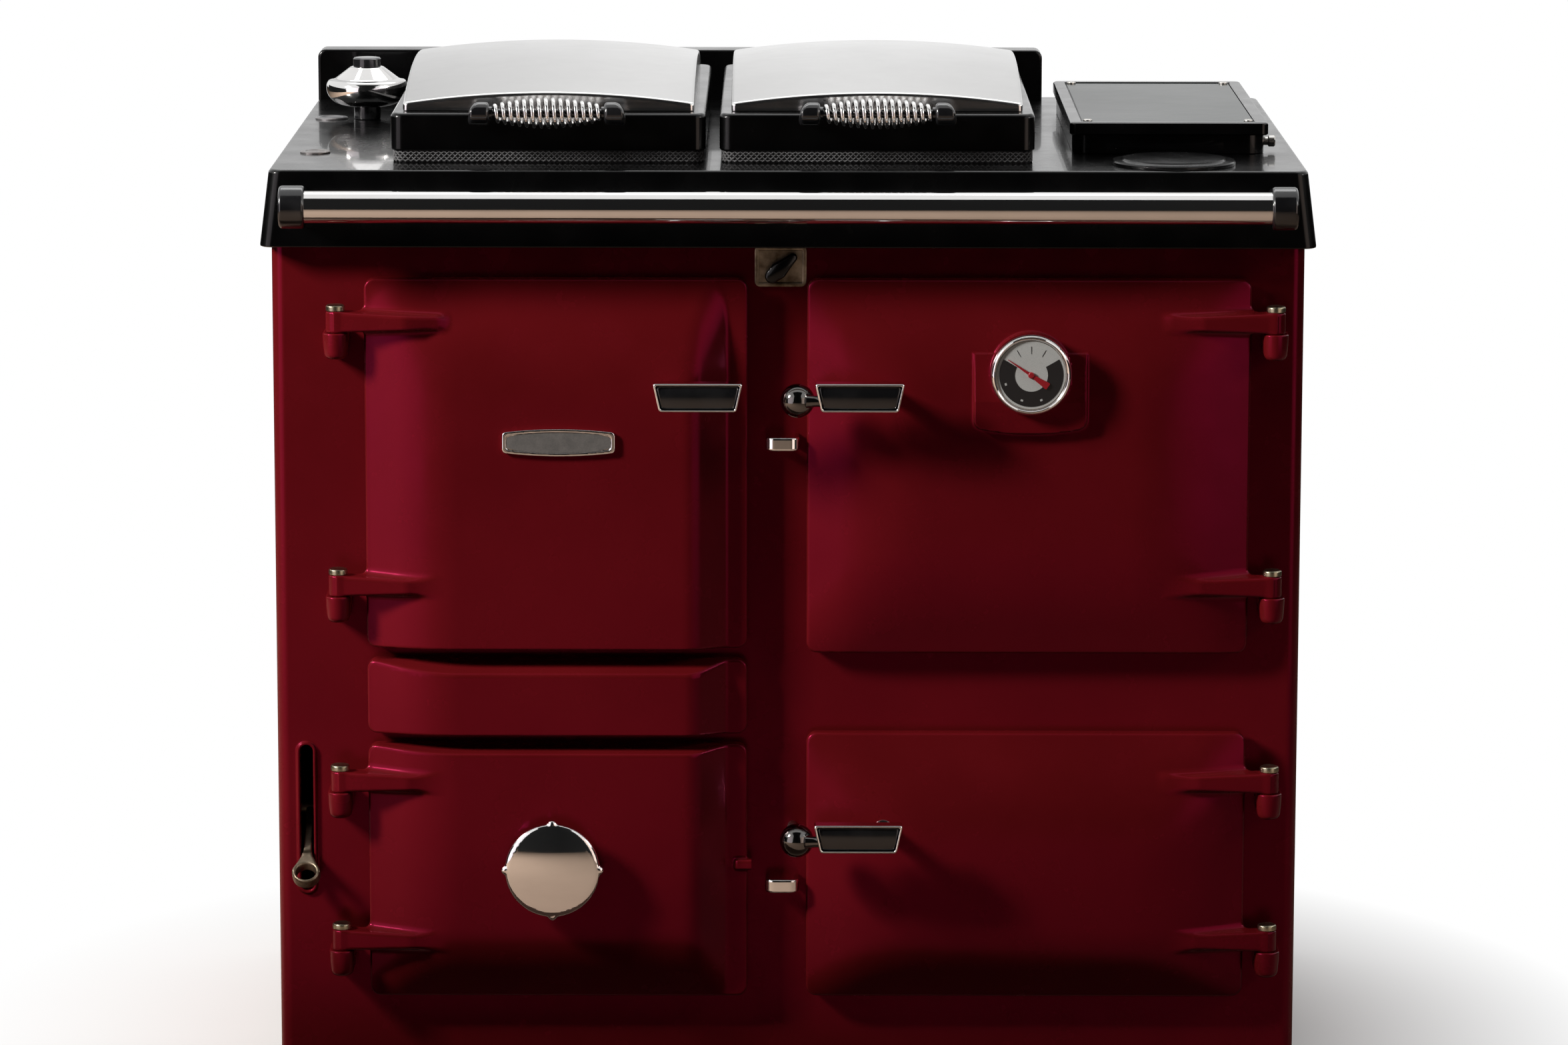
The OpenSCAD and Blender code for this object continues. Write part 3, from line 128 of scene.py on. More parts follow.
class Skin:
    """The nodes of one material, or of the world, made by add() and joined up by show()."""

    def __init__(self, name, kind="materials"):
        self.name, self.owner = name, getattr(bpy.data, kind).new(name)
        self.owner.use_nodes = True
        self.tree = self.owner.node_tree
        self.tree.nodes.clear()

    @cached_property
    def place(self):
        return self.add("TexCoord", out="Object")

    def add(self, kind, inputs=None, out=0, **settings):
        """A new node with these inputs and settings. Gives its output, where it has one."""
        node = self.tree.nodes.new("ShaderNode" + kind)
        for key, value in settings.items():
            setattr(node, key, value)
        for key, value in (inputs or {}).items():
            if isinstance(value, Socket):
                self.tree.links.new(value.output, node.inputs[key])
            elif isinstance(value, tuple) and len(value) == 3 and node.inputs[key].type == "RGBA":
                node.inputs[key].default_value = (*value, 1.0)
            else:
                node.inputs[key].default_value = value
        return Socket(self, node.outputs[out]) if len(node.outputs) else None

    def noise(self, scale, detail=2.0, stretch=None, rough=0.5):
        """Soft noise from 0 to 1, in cells of 1/scale metres, drawn out where stretch says."""
        place = self.place
        if stretch:
            place = self.add("Mapping", {"Vector": place, "Scale": stretch})
        return self.add("TexNoise", {"Vector": place, "Scale": scale, "Detail": detail,
                                     "Roughness": rough})

    def between(self, value, low, high, to_low=0.0, to_high=1.0):
        """Carries value from low..high to to_low..to_high, held at both ends."""
        return self.add("MapRange", {"Value": value, "From Min": low, "From Max": high,
                                     "To Min": to_low, "To Max": to_high})

    def blend(self, amount, first, second):
        """Colour that goes from first to second."""
        return self.add("Mix", {0: amount, 6: first, 7: second}, 2, data_type="RGBA")

    def cloud(self, value, low, high, first, second):
        """Colour first where value is below low, going to second where it is above high."""
        return self.blend(self.between(value, low, high), first, second)

    def show(self, shader, output="OutputMaterial"):
        """Joins a shader to the output."""
        self.add(output, {"Surface": shader})
        SKINS[self.name] = self.owner

    def finish(self, colour, rough, relief, **more):
        """Shows a Principled shader. Names in more have _ for a space.

        rough says (value, low, high, roughness at low, at high), and relief (height, depth).
        """
        bump = self.add("Bump", {"Height": relief[0], "Distance": relief[1], "Strength": 1.0})
        inputs = {"Base Color": colour, "Roughness": self.between(*rough), "Normal": bump}
        inputs.update((key.replace("_", " "), value) for key, value in more.items())
        self.show(self.add("BsdfPrincipled", inputs))


def darker(colour, share):
    """This share of a colour's brightness."""
    return tuple(share * c for c in colour)


def enamel(name, deep, light, wave_depth, coat, sheen, tint=(1.0, 1.0, 1.0)):
    """Glossy vitreous enamel: a ripple left by firing, faint clouding and fine pinholes."""
    skin = Skin(name)
    colour = skin.cloud(skin.noise(7.0, 3.0), 0.35, 0.68, deep, light)
    pinhole = skin.between(skin.noise(900.0, 1.0), 0.71, 0.78)
    skin.finish(skin.blend(pinhole * 0.5, colour, darker(deep, 0.5)),
                (skin.noise(24.0, 4.0), 0.3, 0.7, 0.20, 0.30),
                (skin.noise(85.0, 1.5) + pinhole * -0.15, wave_depth), Coat_Weight=coat,
                Coat_Roughness=0.04, Coat_IOR=1.3, Specular_IOR_Level=sheen, Specular_Tint=tint)


def bright_metal(name, colour, rough, smear, scratch):
    """Plated or polished metal with faint wiping marks."""
    skin = Skin(name)
    wipe = skin.noise(16.0, 4.0, (1.0, 1.0, 3.0), 0.6)
    hair = skin.noise(240.0, 2.0, (0.06, 1.0, 1.0))
    skin.finish(skin.cloud(wipe, 0.35, 0.75, colour, darker(colour, 0.93)),
                (wipe + (hair - 0.5) * 0.5, 0.3, 0.8, rough, rough + smear), (hair, scratch),
                Metallic=1.0)


def cast_iron(name, dark, pale, rough, grain):
    """Sand-cast iron: a grain of two sizes, darker in its hollows."""
    skin = Skin(name)
    fine = skin.noise(700.0, 2.0)
    relief = skin.noise(120.0, 3.0) * 0.6 + fine * 0.4
    skin.finish(skin.cloud(relief, 0.35, 0.65, dark, pale), (fine, 0.3, 0.7, rough - 0.06, rough),
                (relief, grain), Metallic=0.1)


def printed(name, colour, rough):
    """Printed or painted sheet with a very fine grain."""
    skin = Skin(name)
    grain = skin.noise(1600.0, 2.0)
    skin.finish(skin.cloud(grain, 0.3, 0.7, colour, darker(colour, 0.86)),
                (grain, 0.3, 0.7, rough, rough + 0.1), (grain, 0.00001))


def ground_iron():
    """Iron faced on a mill: fine parallel marks, a little brown where it has been hot."""
    skin = Skin("ground_iron")
    milled = skin.noise(520.0, 2.0, (1.0, 0.02, 1.0))
    colour = skin.cloud(skin.noise(9.0, 3.0), 0.45, 0.75, (0.30, 0.30, 0.31), (0.21, 0.18, 0.16))
    skin.finish(colour, (milled, 0.3, 0.7, 0.28, 0.42), (milled, 0.00012), Metallic=0.85)


def knitted_rope():
    """Graphited glass-fibre rope: grey yarn, darker between its stitches."""
    skin = Skin("rope")
    yarn = skin.noise(1400.0, 2.0, (1.0, 1.0, 0.35))
    colour = skin.cloud(yarn, 0.35, 0.65, (0.030, 0.030, 0.031), (0.16, 0.16, 0.165))
    soot = skin.between(skin.noise(30.0, 3.0), 0.5, 0.75, 0.0, 0.6)
    skin.finish(skin.blend(soot, colour, (0.02, 0.019, 0.018)), (yarn, 0.3, 0.7, 0.9, 0.7),
                (yarn, 0.0004), Sheen_Weight=0.2)


def firebrick():
    """Buff brick with soot on it in patches."""
    skin = Skin("brick")
    grit = skin.noise(260.0, 4.0)
    colour = skin.cloud(grit, 0.3, 0.7, (0.42, 0.33, 0.23), (0.62, 0.52, 0.40))
    stain = skin.between(skin.noise(14.0, 3.0), 0.5, 0.8, 0.0, 0.8)
    skin.finish(skin.blend(stain, colour, (0.08, 0.07, 0.06)), (grit, 0.0, 1.0, 0.85, 0.97),
                (grit, 0.0008))


def moulding_black():
    """Black grip moulding with a low gloss."""
    skin = Skin("grip_black")
    worn = skin.noise(40.0, 3.0)
    skin.finish(skin.cloud(worn, 0.4, 0.7, (0.007, 0.007, 0.008), (0.014, 0.014, 0.015)),
                (worn, 0.3, 0.7, 0.14, 0.24), (skin.noise(1100.0, 2.0), 0.00003),
                Coat_Weight=0.4, Coat_Roughness=0.05)


def bronzed_steel():
    """Plain steel browned by heat, brighter where hands and tools rub it."""
    skin = Skin("bronzed_steel")
    patch = skin.noise(70.0, 4.0, None, 0.6)
    rub = skin.noise(900.0, 2.0, (1.0, 0.2, 1.0))
    skin.finish(skin.cloud(patch, 0.35, 0.65, (0.10, 0.072, 0.045), (0.27, 0.22, 0.16)),
                (patch + rub * 0.3, 0.4, 0.9, 0.26, 0.48), (rub, 0.00006), Metallic=0.9)


def pane_painted_reflection():
    """Enamelled cover pane with a low sheen, its dark grey-green colour a painted reflection of the grey
    backdrop.
    """
    skin = Skin("pane")
    cloud = skin.noise(9.0, 3.0)
    skin.finish(skin.cloud(cloud, 0.3, 0.7, (0.018, 0.027, 0.026), (0.026, 0.037, 0.035)),
                (cloud, 0.3, 0.7, 0.10, 0.16), (skin.noise(70.0, 1.5), 0.00004),
                Specular_IOR_Level=0.04)


def window_glass():
    """Thin clear pane, smeared a little: nearly all of it lets the dial through."""
    skin = Skin("glass")
    smear = skin.between(skin.noise(60.0, 3.0), 0.4, 0.8, 0.01, 0.05)
    shine = skin.add("BsdfGlossy", {"Color": (1.0, 1.0, 1.0), "Roughness": smear})
    edge = skin.add("Fresnel", {"IOR": 1.3})
    skin.show(skin.add("MixShader", {0: edge, 1: skin.add("BsdfTransparent"), 2: shine}))


enamel("claret_enamel", (0.118, 0.0048, 0.0066), (0.138, 0.0058, 0.0080), 0.00006, 0.0, 0.60,
       (1.0, 0.02, 0.19))
enamel("black_enamel", (0.0005, 0.0005, 0.0006), (0.0011, 0.0011, 0.0012), 0.00003, 0.46, 0.16)
cast_iron("black_iron", (0.010, 0.010, 0.010), (0.030, 0.029, 0.028), 0.62, 0.0004)
cast_iron("oven_iron", (0.028, 0.028, 0.030), (0.062, 0.060, 0.060), 0.5, 0.0003)
cast_iron("badge_field", (0.14, 0.135, 0.13), (0.20, 0.19, 0.18), 0.45, 0.00006)
bright_metal("chrome", (0.78, 0.77, 0.76), 0.03, 0.07, 0.000004)
# Handle balls: the chrome darkened to a fifth, painted shade standing for the dark room that the real
# ball reflects.
bright_metal("ball_chrome_painted_shade", (0.14, 0.135, 0.13), 0.05, 0.07, 0.000004)
bright_metal("polished_steel", (0.74, 0.735, 0.73), 0.13, 0.09, 0.00001)
bright_metal("steel", (0.55, 0.53, 0.50), 0.18, 0.16, 0.00002)
bright_metal("pin_steel", (0.30, 0.27, 0.19), 0.22, 0.15, 0.00002)
printed("dial_white", (0.66, 0.67, 0.65), 0.45)
printed("dial_black", (0.010, 0.010, 0.011), 0.35)
printed("needle_red", (0.42, 0.010, 0.020), 0.35)
for make_skin in (ground_iron, knitted_rope, firebrick, moulding_black, bronzed_steel, pane_painted_reflection,
                  window_glass):
    make_skin()


# ---- Shapes: points in millimetres and faces, and for castings also normals ----

def add_piece(name, shape, skin, node=None, crease=35, body="cooker"):
    """A mesh of a shape, on its body, in place of the node that it stands for.

    It is shaded by the shape's normals, or else smoothly with edges kept above crease degrees.
    """
    points, faces, *normals = shape
    mesh = bpy.data.meshes.new(name)
    placed = np.asarray(points, float) * MM + (0, FRONT_Y, 0)
    mesh.from_pydata(placed.tolist(), [], [list(f) for f in faces])
    mesh.polygons.foreach_set("use_smooth", [True] * len(mesh.polygons))
    mesh.materials.append(SKINS[skin])
    piece = place_object(name, mesh)
    if normals:
        mesh.normals_split_custom_set_from_vertices(np.asarray(normals[0]).tolist())
    else:
        mesh.set_sharp_from_angle(angle=math.radians(crease))
        piece.modifiers.new("even", "WEIGHTED_NORMAL").keep_sharp = True
    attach(piece, body)
    if node:
        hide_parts(node)


def joined(shapes):
    """One shape from several. Either all of them have normals or none has."""
    points, faces, normals = [], [], []
    for some_points, some_faces, *some_normals in shapes:
        shift = len(points)
        points += [tuple(p) for p in some_points]
        faces += [tuple(i + shift for i in f) for f in some_faces]
        for rows in some_normals:
            normals += list(rows)
    return (points, faces, normals) if normals else (points, faces)


def ruler(start, *spans):
    """Cell marks from start on, where each span is (its end, the greatest step)."""
    lines = [np.array([start], float)]
    for end, step in spans:
        count = max(1, math.ceil((end - start) / step))
        lines.append(np.linspace(start, end, count + 1)[1:])
        start = end
    return np.concatenate(lines)


def marks(low, high, spots, fine, coarse, reach=4.0):
    """Cell marks from low to high, fine near the spots and coarser away from them."""
    lines = [low]
    while lines[-1] < high:
        away = min(abs(lines[-1] - spot) for spot in spots) - reach
        lines.append(lines[-1] + min(max(fine + 0.3 * away, fine), coarse))
    return np.array(lines)


def slope(field, points, step=0.02):
    """Gradient of a field, by small steps each way."""
    rows = []
    for move in np.eye(3) * step:
        rows.append((field(points + move) - field(points - move)) / (2 * step))
    return np.stack(rows, 1)


def skin_over(field, *rulers):
    """Shape of the surface where a field of distances is 0, with the inside below 0.

    The rulers are the cell marks along x, y and z.
    """
    grid = np.stack(np.meshgrid(*rulers, indexing="ij"), -1)
    value = field(grid.reshape(-1, 3)).reshape(grid.shape[:3])
    inside = value < 0
    nx, ny, nz = (len(r) - 1 for r in rulers)
    corners = sum(inside[a:a + nx, b:b + ny, c:c + nz].astype(int)
                  for a in (0, 1) for b in (0, 1) for c in (0, 1))
    cells = np.argwhere((corners > 0) & (corners < 8))
    number = np.full(corners.shape, -1)
    number[tuple(cells.T)] = np.arange(len(cells))
    total = np.zeros((len(cells), 3))
    crossings = np.zeros(len(cells))
    for axis in range(3):
        for a in (0, 1):
            for b in (0, 1):
                near = cells + np.insert([a, b], axis, 0)
                far = near + np.eye(3, dtype=int)[axis]
                v0, v1 = value[tuple(near.T)], value[tuple(far.T)]
                cut = (v0 < 0) != (v1 < 0)
                share = np.where(cut, v0 / np.where(cut, v0 - v1, 1), 0)[:, None]
                spot = grid[tuple(near.T)] * (1 - share) + grid[tuple(far.T)] * share
                total[cut] += spot[cut]
                crossings[cut] += 1
    points = total / crossings[:, None]
    low = np.stack([rulers[a][cells[:, a]] for a in range(3)], 1)
    high = np.stack([rulers[a][cells[:, a] + 1] for a in range(3)], 1)
    for _ in range(3):
        lean = slope(field, points)
        points = points - field(points)[:, None] * lean / np.maximum((lean ** 2).sum(1), 1e-6)[:, None]
        points = np.clip(points, low, high)
    normals = slope(field, points)
    normals /= np.maximum(np.linalg.norm(normals, axis=1), 1e-9)[:, None]
    quads = []
    for axis in range(3):
        first, second = (axis + 1) % 3, (axis + 2) % 3
        size = [len(r) for r in rulers]
        change = -np.diff(inside.astype(int), axis=axis)
        for way in (1, -1):
            spots = np.argwhere(change == way)
            keep = ((spots[:, first] > 0) & (spots[:, second] > 0)
                    & (spots[:, first] < size[first] - 1) & (spots[:, second] < size[second] - 1))
            ring = []
            for da, db in ((-1, -1), (0, -1), (0, 0), (-1, 0)):
                cell = spots[keep]
                cell[:, first] += da
                cell[:, second] += db
                ring.append(number[tuple(cell.T)])
            quads.append(np.stack(ring[::way], 1))
    return points, np.concatenate(quads).tolist(), normals


def strip_faces(rings, count, hollow=False):
    """Quads between rings of count points, and a face on each end, or on to the first ring."""
    faces = []
    for r in range(rings if hollow else rings - 1):
        a, b = r * count, (r + 1) % rings * count
        for i in range(count):
            j = (i + 1) % count
            faces.append((a + i, a + j, b + j, b + i))
    if not hollow:
        faces.append(tuple(range(count))[::-1])
        faces.append(tuple(range((rings - 1) * count, rings * count)))
    return faces


def round_loop(x0, x1, y0, y1, r, steps):
    """Points anticlockwise round a rectangle with round corners."""
    points = []
    for cx, cy, turn in ((x1 - r, y1 - r, 0), (x0 + r, y1 - r, 90), (x0 + r, y0 + r, 180),
                         (x1 - r, y0 + r, 270)):
        for i in range(steps + 1):
            a = math.radians(turn + 90 * i / steps)
            points.append((cx + r * math.cos(a), cy + r * math.sin(a)))
    return points


def levels_shape(levels, steps, axis=2, hollow=False):
    """A solid of round-cornered levels (a0, a1, b0, b1, height, corner)."""
    points = []
    for *box, height, corner in levels:
        for a, b in round_loop(*box, corner, steps):
            points.append((a, b, height) if axis == 2 else (a, height, b))
    return points, strip_faces(len(levels), 4 * (steps + 1), hollow)


def stacked(box, tiers, steps, hollow=False):
    """A solid over a box (x0, x1, y0, y1), where each tier is (inset, height, corner)."""
    x0, x1, y0, y1 = box
    levels = [(x0 + i, x1 - i, y0 + i, y1 - i, height, corner) for i, height, corner in tiers]
    return levels_shape(levels, steps, 2, hollow)


def plan(low, high):
    """The box of a solid as seen from above."""
    return low[0], high[0], low[1], high[1]


def turned(profile, centre, axis, count, hollow=False):
    """(radius, distance) points turned round an axis (0, 1 or 2)."""
    first, second = (axis + 1) % 3, (axis + 2) % 3
    points = []
    for radius, along in profile:
        for i in range(count):
            spot = list(centre)
            spot[first] += radius * math.cos(TURN * i / count)
            spot[second] += radius * math.sin(TURN * i / count)
            spot[axis] += along
            points.append(tuple(spot))
    return points, strip_faces(len(profile), count, hollow)


def sweep(path, radius, sides):
    """A round wire along a path."""
    ahead = np.gradient(path, axis=0)
    ahead /= np.linalg.norm(ahead, axis=1)[:, None]
    normal = np.cross(ahead[0], (0, 0, 1.0))
    points = []
    for spot, way in zip(path, ahead):
        normal = normal - (normal @ way) * way
        normal /= np.linalg.norm(normal)
        other = np.cross(way, normal)
        for i in range(sides):
            a = TURN * i / sides
            points.append(spot + radius * (math.cos(a) * normal + math.sin(a) * other))
    return points, strip_faces(len(path), sides)


def eased(line, radius, steps=3):
    """A line of 2D points with its inner corners turned in small arcs."""
    line = [np.array(q, float) for q in line]
    result = [line[0]]
    for before, corner, after in zip(line, line[1:], line[2:]):
        u, v = before - corner, after - corner
        reach = min(radius, np.linalg.norm(u) * 0.48, np.linalg.norm(v) * 0.48)
        start, end = corner + u / np.linalg.norm(u) * reach, corner + v / np.linalg.norm(v) * reach
        for i in range(steps + 1):
            t = i / steps
            result.append((1 - t) ** 2 * start + 2 * t * (1 - t) * corner + t * t * end)
    return result + [line[-1]]


# Distances to simple solids. p is an array of points, and the inside is below 0.

def soft_min(a, b, k):
    """Two solids as one, with the inner corner between them filled over a width k."""
    h = np.clip(0.5 + 0.5 * (b - a) / k, 0, 1)
    return b + (a - b) * h - k * h * (1 - h)


def soft_max(a, b, k):
    """What two solids share, with the edge between them softened over a width k."""
    return -soft_min(-a, -b, k)


def brick_at(p, low, high, r):
    """A box with every edge rounded to r."""
    middle, half = (np.array(low) + high) / 2, (np.array(high) - low) / 2
    q = np.abs(p - middle) - half + r
    return np.linalg.norm(np.maximum(q, 0), axis=1) + np.minimum(q.max(1), 0) - r


def corner_at(a, b, r):
    """A convex corner of two faces at distances a and b, rounded to r."""
    a, b = a + r, b + r
    return np.hypot(np.maximum(a, 0), np.maximum(b, 0)) + np.minimum(np.maximum(a, b), 0) - r


def drum_at(p, centre, axis, radius, half, r):
    """A cylinder along an axis (0, 1 or 2) with its two edges rounded to r."""
    q = p - np.array(centre, float)
    around = np.linalg.norm(np.delete(q, axis, 1), axis=1) - radius
    return corner_at(around, np.abs(q[:, axis]) - half, r)


def panel_at(x, z, box, r):
    """A round-cornered rectangle (left, right, foot, top) in the front's plane."""
    return corner_at(np.abs(x - (box[0] + box[1]) / 2) - (box[1] - box[0]) / 2,
                     np.abs(z - (box[2] + box[3]) / 2) - (box[3] - box[2]) / 2, r)


# ---- Carcass ----

OPENING_IN = 19.0
LINER_IN = 27.0
ASH_LOW, ASH_HIGH = span("ash_door")
STRIP_LOW, STRIP_HIGH = span("infill_strip")
PIN_LOW, PIN_HIGH = span("hinge_pins")
HEAD_R = 9.0
PINS_X = (PIN_LOW[0] + HEAD_R, PIN_HIGH[0] - HEAD_R)
PIN_Y = PIN_LOW[1] + HEAD_R
UPPER_HINGES = (764.0, 513.0)
LOWER_HINGES = (324.0, 170.0)
PINS = [(pin_x, height) for pin_x in PINS_X for height in UPPER_HINGES + LOWER_HINGES]
ARM_H, ARM_RUN = 20.0, 110.0
BORE_R = 5.1
CORBEL_H = 25.0
STAPLE_HEIGHTS = (648.0, 222.0)


def door_box(liner):
    """Left, right, foot and top of a door, from the lining behind it."""
    low, high = span(liner)
    return low[0] - LINER_IN, high[0] + LINER_IN, low[2] - LINER_IN, high[2] + LINER_IN


FIRE_BOX = door_box("fire_door_liner")
OVEN_BOX = door_box("upper_oven_liner")
LOWER_BOX = door_box("lower_oven_liner")
ASH_BOX = (FIRE_BOX[0], FIRE_BOX[1], ASH_LOW[2], ASH_HIGH[2])
STRIP_BOX = (FIRE_BOX[0], FIRE_BOX[1], STRIP_LOW[2], STRIP_HIGH[2])
OPENINGS = [(box[0] + OPENING_IN, box[1] - OPENING_IN, box[2] + OPENING_IN, box[3] - OPENING_IN)
            for box in (FIRE_BOX, OVEN_BOX, LOWER_BOX, ASH_BOX)]
RIM_STRIP = 19.0
MULLION_X = (FIRE_BOX[1] + OVEN_BOX[0]) / 2
# Middle of the riddling lever's slot, and half its width and height.
SLOT = (SIDE_LOW[0] + 28.0, 282.0)
SLOT_HALF = (6.25, 71.0)


def front_plate_field(p):
    """Plate with upright corners rounded into the sides, four openings and the lever's slot."""
    x, y, z = p.T
    thick, lip = 12.0, 3.0
    plate = corner_at(np.abs(x) - SIDE_HIGH[0], -y, 12.0)
    plate = np.maximum(plate, np.maximum(y - thick, np.maximum(z - SIDE_HIGH[2], SIDE_LOW[2] - z)))
    slot = panel_at(x, z, (SLOT[0] - SLOT_HALF[0], SLOT[0] + SLOT_HALF[0],
                           SLOT[1] - SLOT_HALF[1], SLOT[1] + SLOT_HALF[1]), SLOT_HALF[0])
    rim = soft_max(slot - lip, np.maximum(-y - lip, y - thick), 1.6)
    plate = soft_max(soft_min(plate, rim, 2.0), -slot, 1.4)
    for hole in OPENINGS:
        plate = soft_max(plate, -panel_at(x, z, hole, 6.0), 1.5)
    return plate


def make_carcass():
    """Front plate, side panels, top plate with its flared apron, and upstand."""
    xs_near = [-486, -474, 474, 486] + [SLOT[0] + away for away in (-9, -3, 3, 9)]
    zs_near = [SIDE_LOW[2], SIDE_HIGH[2]] + [SLOT[1] + away for away in (-75, -68, 68, 75)]
    for hole in OPENINGS:
        xs_near += hole[:2]
        zs_near += hole[2:]
    front = skin_over(front_plate_field, marks(-490, 490, xs_near, 1.5, 30),
                      marks(-6, 16, [-3, 0, 12], 1.0, 4, 2),
                      marks(SIDE_LOW[2] - 4, 897, zs_near, 1.6, 30))
    add_piece("front_plate_cast", front, "claret_enamel", "front_plate")

    thick, start = 5.0, 12.4
    tiers = [(0, SIDE_LOW[2], 0.8), (0, SIDE_HIGH[2], 0.8)]
    sides = [stacked((x, x + thick, start, SIDE_HIGH[1]), tiers, 2)
             for x in (SIDE_LOW[0], SIDE_HIGH[0] - thick)]
    add_piece("side_panels_enamel", joined(sides), "claret_enamel", "side_panels", 30)

    low, high = PLATE_LOW, PLATE_HIGH
    flare, wall, gap, soft, ceiling = 8.0, 9.0, 0.3, 3.5, PLATE_Z - 12
    levels = [(low[0] + wall - gap + i, high[0] - wall + gap - i, -gap + i, 640.0, z, 2.0)
              for i, z in ((0, ceiling), (0, APRON_Z + 1), (-1, APRON_Z))]
    outer = [(1.5, APRON_Z), (0.4, APRON_Z + 0.6), (0.1, APRON_Z + 2)]
    outer += [(flare + soft * (1 - math.cos(a)), PLATE_Z - soft * (1 - math.sin(a)))
              for a in np.linspace(0, QUARTER, 5)]
    levels += [(low[0] + i, high[0] - i, low[1] + i, high[1], z, 12.0) for i, z in outer]
    add_piece("hob_plate", levels_shape(levels, 8), "black_enamel", "top_plate", 40)

    low, high = span("upstand")
    corner, soft = 8.0, 2.5
    ease = [(soft * (1 - math.sin(a)), soft * (1 - math.cos(a))) for a in np.linspace(0, QUARTER, 5)]
    depths = [(i, low[1] + d) for i, d in ease] + [(i, high[1] - d) for i, d in ease[::-1]]
    levels = [(low[0] + i, high[0] - i, low[2] - corner, high[2] - i, y, corner) for i, y in depths]
    add_piece("upstand_cast", levels_shape(levels, 6, 1), "black_enamel", "upstand", 40)


# ---- Doors ----

def crowned_at(p, box, bevels, strip=0.0):
    """A door's casting: upright rim, raised face, and bevels [left, right, foot, top] wide.

    strip is the width of a flat rim left outside the right bevel, and counts as part of it.
    """
    x, y, z = p.T
    rise = RIM_Y - FACE_Y
    crown = FACE_Y - y
    for inward, width in ((x - box[0], bevels[0]), (box[1] - strip - x, bevels[1] - strip),
                          (z - box[2], bevels[2]), (box[3] - z, bevels[3])):
        slant = ((RIM_Y - y) * width - inward * rise) / math.hypot(width, rise)
        crown = soft_max(crown, slant, max(0.2 * width, 3.0))
    if strip:
        crown = soft_min(crown, RIM_Y - y, 2.0)
    edge = soft_max(crown, panel_at(x, z, box, 10.0), 2.5)
    return soft_max(edge, y - BACK_Y, 1.5)


def arm_at(p, pin_x, inward, height):
    """Tapered hinge arm from its eye at the pin, run on over the bevel."""
    x, y, z = p.T
    along = (x - pin_x) * inward
    t = np.clip(along / ARM_RUN, 0, 1)
    half = ARM_H / 2 - 4.5 * t
    climb, dip = (9.0 if inward > 0 else 1.5), 0.62
    front = FACE_Y + 5 - climb * np.minimum(t, dip) + 28.0 * np.clip(t - dip, 0, 1) ** 1.1
    arm = soft_max(np.abs(z - height) - half, front - y, 4.0)
    arm = soft_max(arm, along - ARM_RUN + 6, 10.0)
    arm = np.maximum(arm, np.maximum(-along, y - RIM_Y))
    eye = drum_at(p, (pin_x, PIN_Y, height), 2, HEAD_R, ARM_H / 2, 1.5)
    return soft_min(arm, eye, 3.0)


def make_door(name, box, bevels, side, heights, strip=0.0, extra=None, more=((), ())):
    """A door with its arms, bored for the pins. side is 0 for the left pins and 1 for the right."""
    pin_x, inward = PINS_X[side], (1, -1)[side]

    def field(p):
        door = crowned_at(p, box, bevels, strip)
        if extra:
            door = extra(p, door)
        for height in heights:
            door = soft_min(door, arm_at(p, pin_x, inward, height), 7.0)
        bore = np.hypot(p[:, 0] - pin_x, p[:, 1] - PIN_Y) - BORE_R
        return soft_max(door, -bore, 0.8)

    xs_near = [box[0], box[1], box[0] + bevels[0], box[1] - bevels[1], box[1] - strip, pin_x,
               pin_x - 8 * inward, pin_x + inward * (ARM_RUN - 4), *more[0]]
    zs_near = [box[2], box[3], box[2] + bevels[2], box[3] - bevels[3], *more[1]]
    for height in heights:
        zs_near += [height - 10, height, height + 10]
    door = skin_over(
        field, marks(min(box[0], pin_x - 12) - 3, max(box[1], pin_x + 12) + 3, xs_near, 1.8, 16),
        marks(-54, 1, [BACK_Y, RIM_Y, FACE_Y, -37], 1.3, 4, 3),
        marks(box[2] - 3, box[3] + 3, zs_near, 1.8, 16))
    add_piece(name + "_cast", door, "claret_enamel", name, body=name)


DIAL_LOW, DIAL_HIGH, DIAL_MIDDLE, DIAL_HALF = extent("dial_bezel")
DIAL = (DIAL_MIDDLE[0], DIAL_MIDDLE[2])
DIAL_R = DIAL_HALF[0]
PAD_Y = DIAL_HIGH[1]
NEEDLE_AT = 146


def with_dial_pad(p, door):
    """Boss behind the dial, and a shield that grows out of the face below it to a bowed foot."""
    x, y, z = p.T
    half, wedge_top = 53.0, DIAL[1] + 17
    boss = np.maximum(np.hypot(x - DIAL[0], z - DIAL[1]) - DIAL_R + 1, PAD_Y - y)
    bowed = DIAL[1] - 52 - 6 * (1 - ((x - DIAL[0]) / half) ** 2)
    sunk = FACE_Y + 3
    front = sunk + (PAD_Y - sunk) * np.clip((wedge_top - z) / 44, 0, 1)
    shield = soft_max(np.abs(x - DIAL[0]) - half, bowed - z, 8.0)
    shield = np.maximum(soft_max(shield, front - y, 2.0), z - wedge_top)
    return soft_min(door, np.maximum(np.minimum(boss, shield), y - FACE_Y - 9), 2.5)


TONGUE_X, TONGUE_Z = FIRE_BOX[1] + 21, (236.5, 246.5)


def with_tongue(p, door):
    """Short tongue at the latch side of the ash door."""
    tongue = brick_at(p, (FIRE_BOX[1] - 12, RIM_Y - 6, TONGUE_Z[0]),
                      (TONGUE_X, RIM_Y + 4, TONGUE_Z[1]), 2.5)
    return soft_min(door, tongue, 3.0)


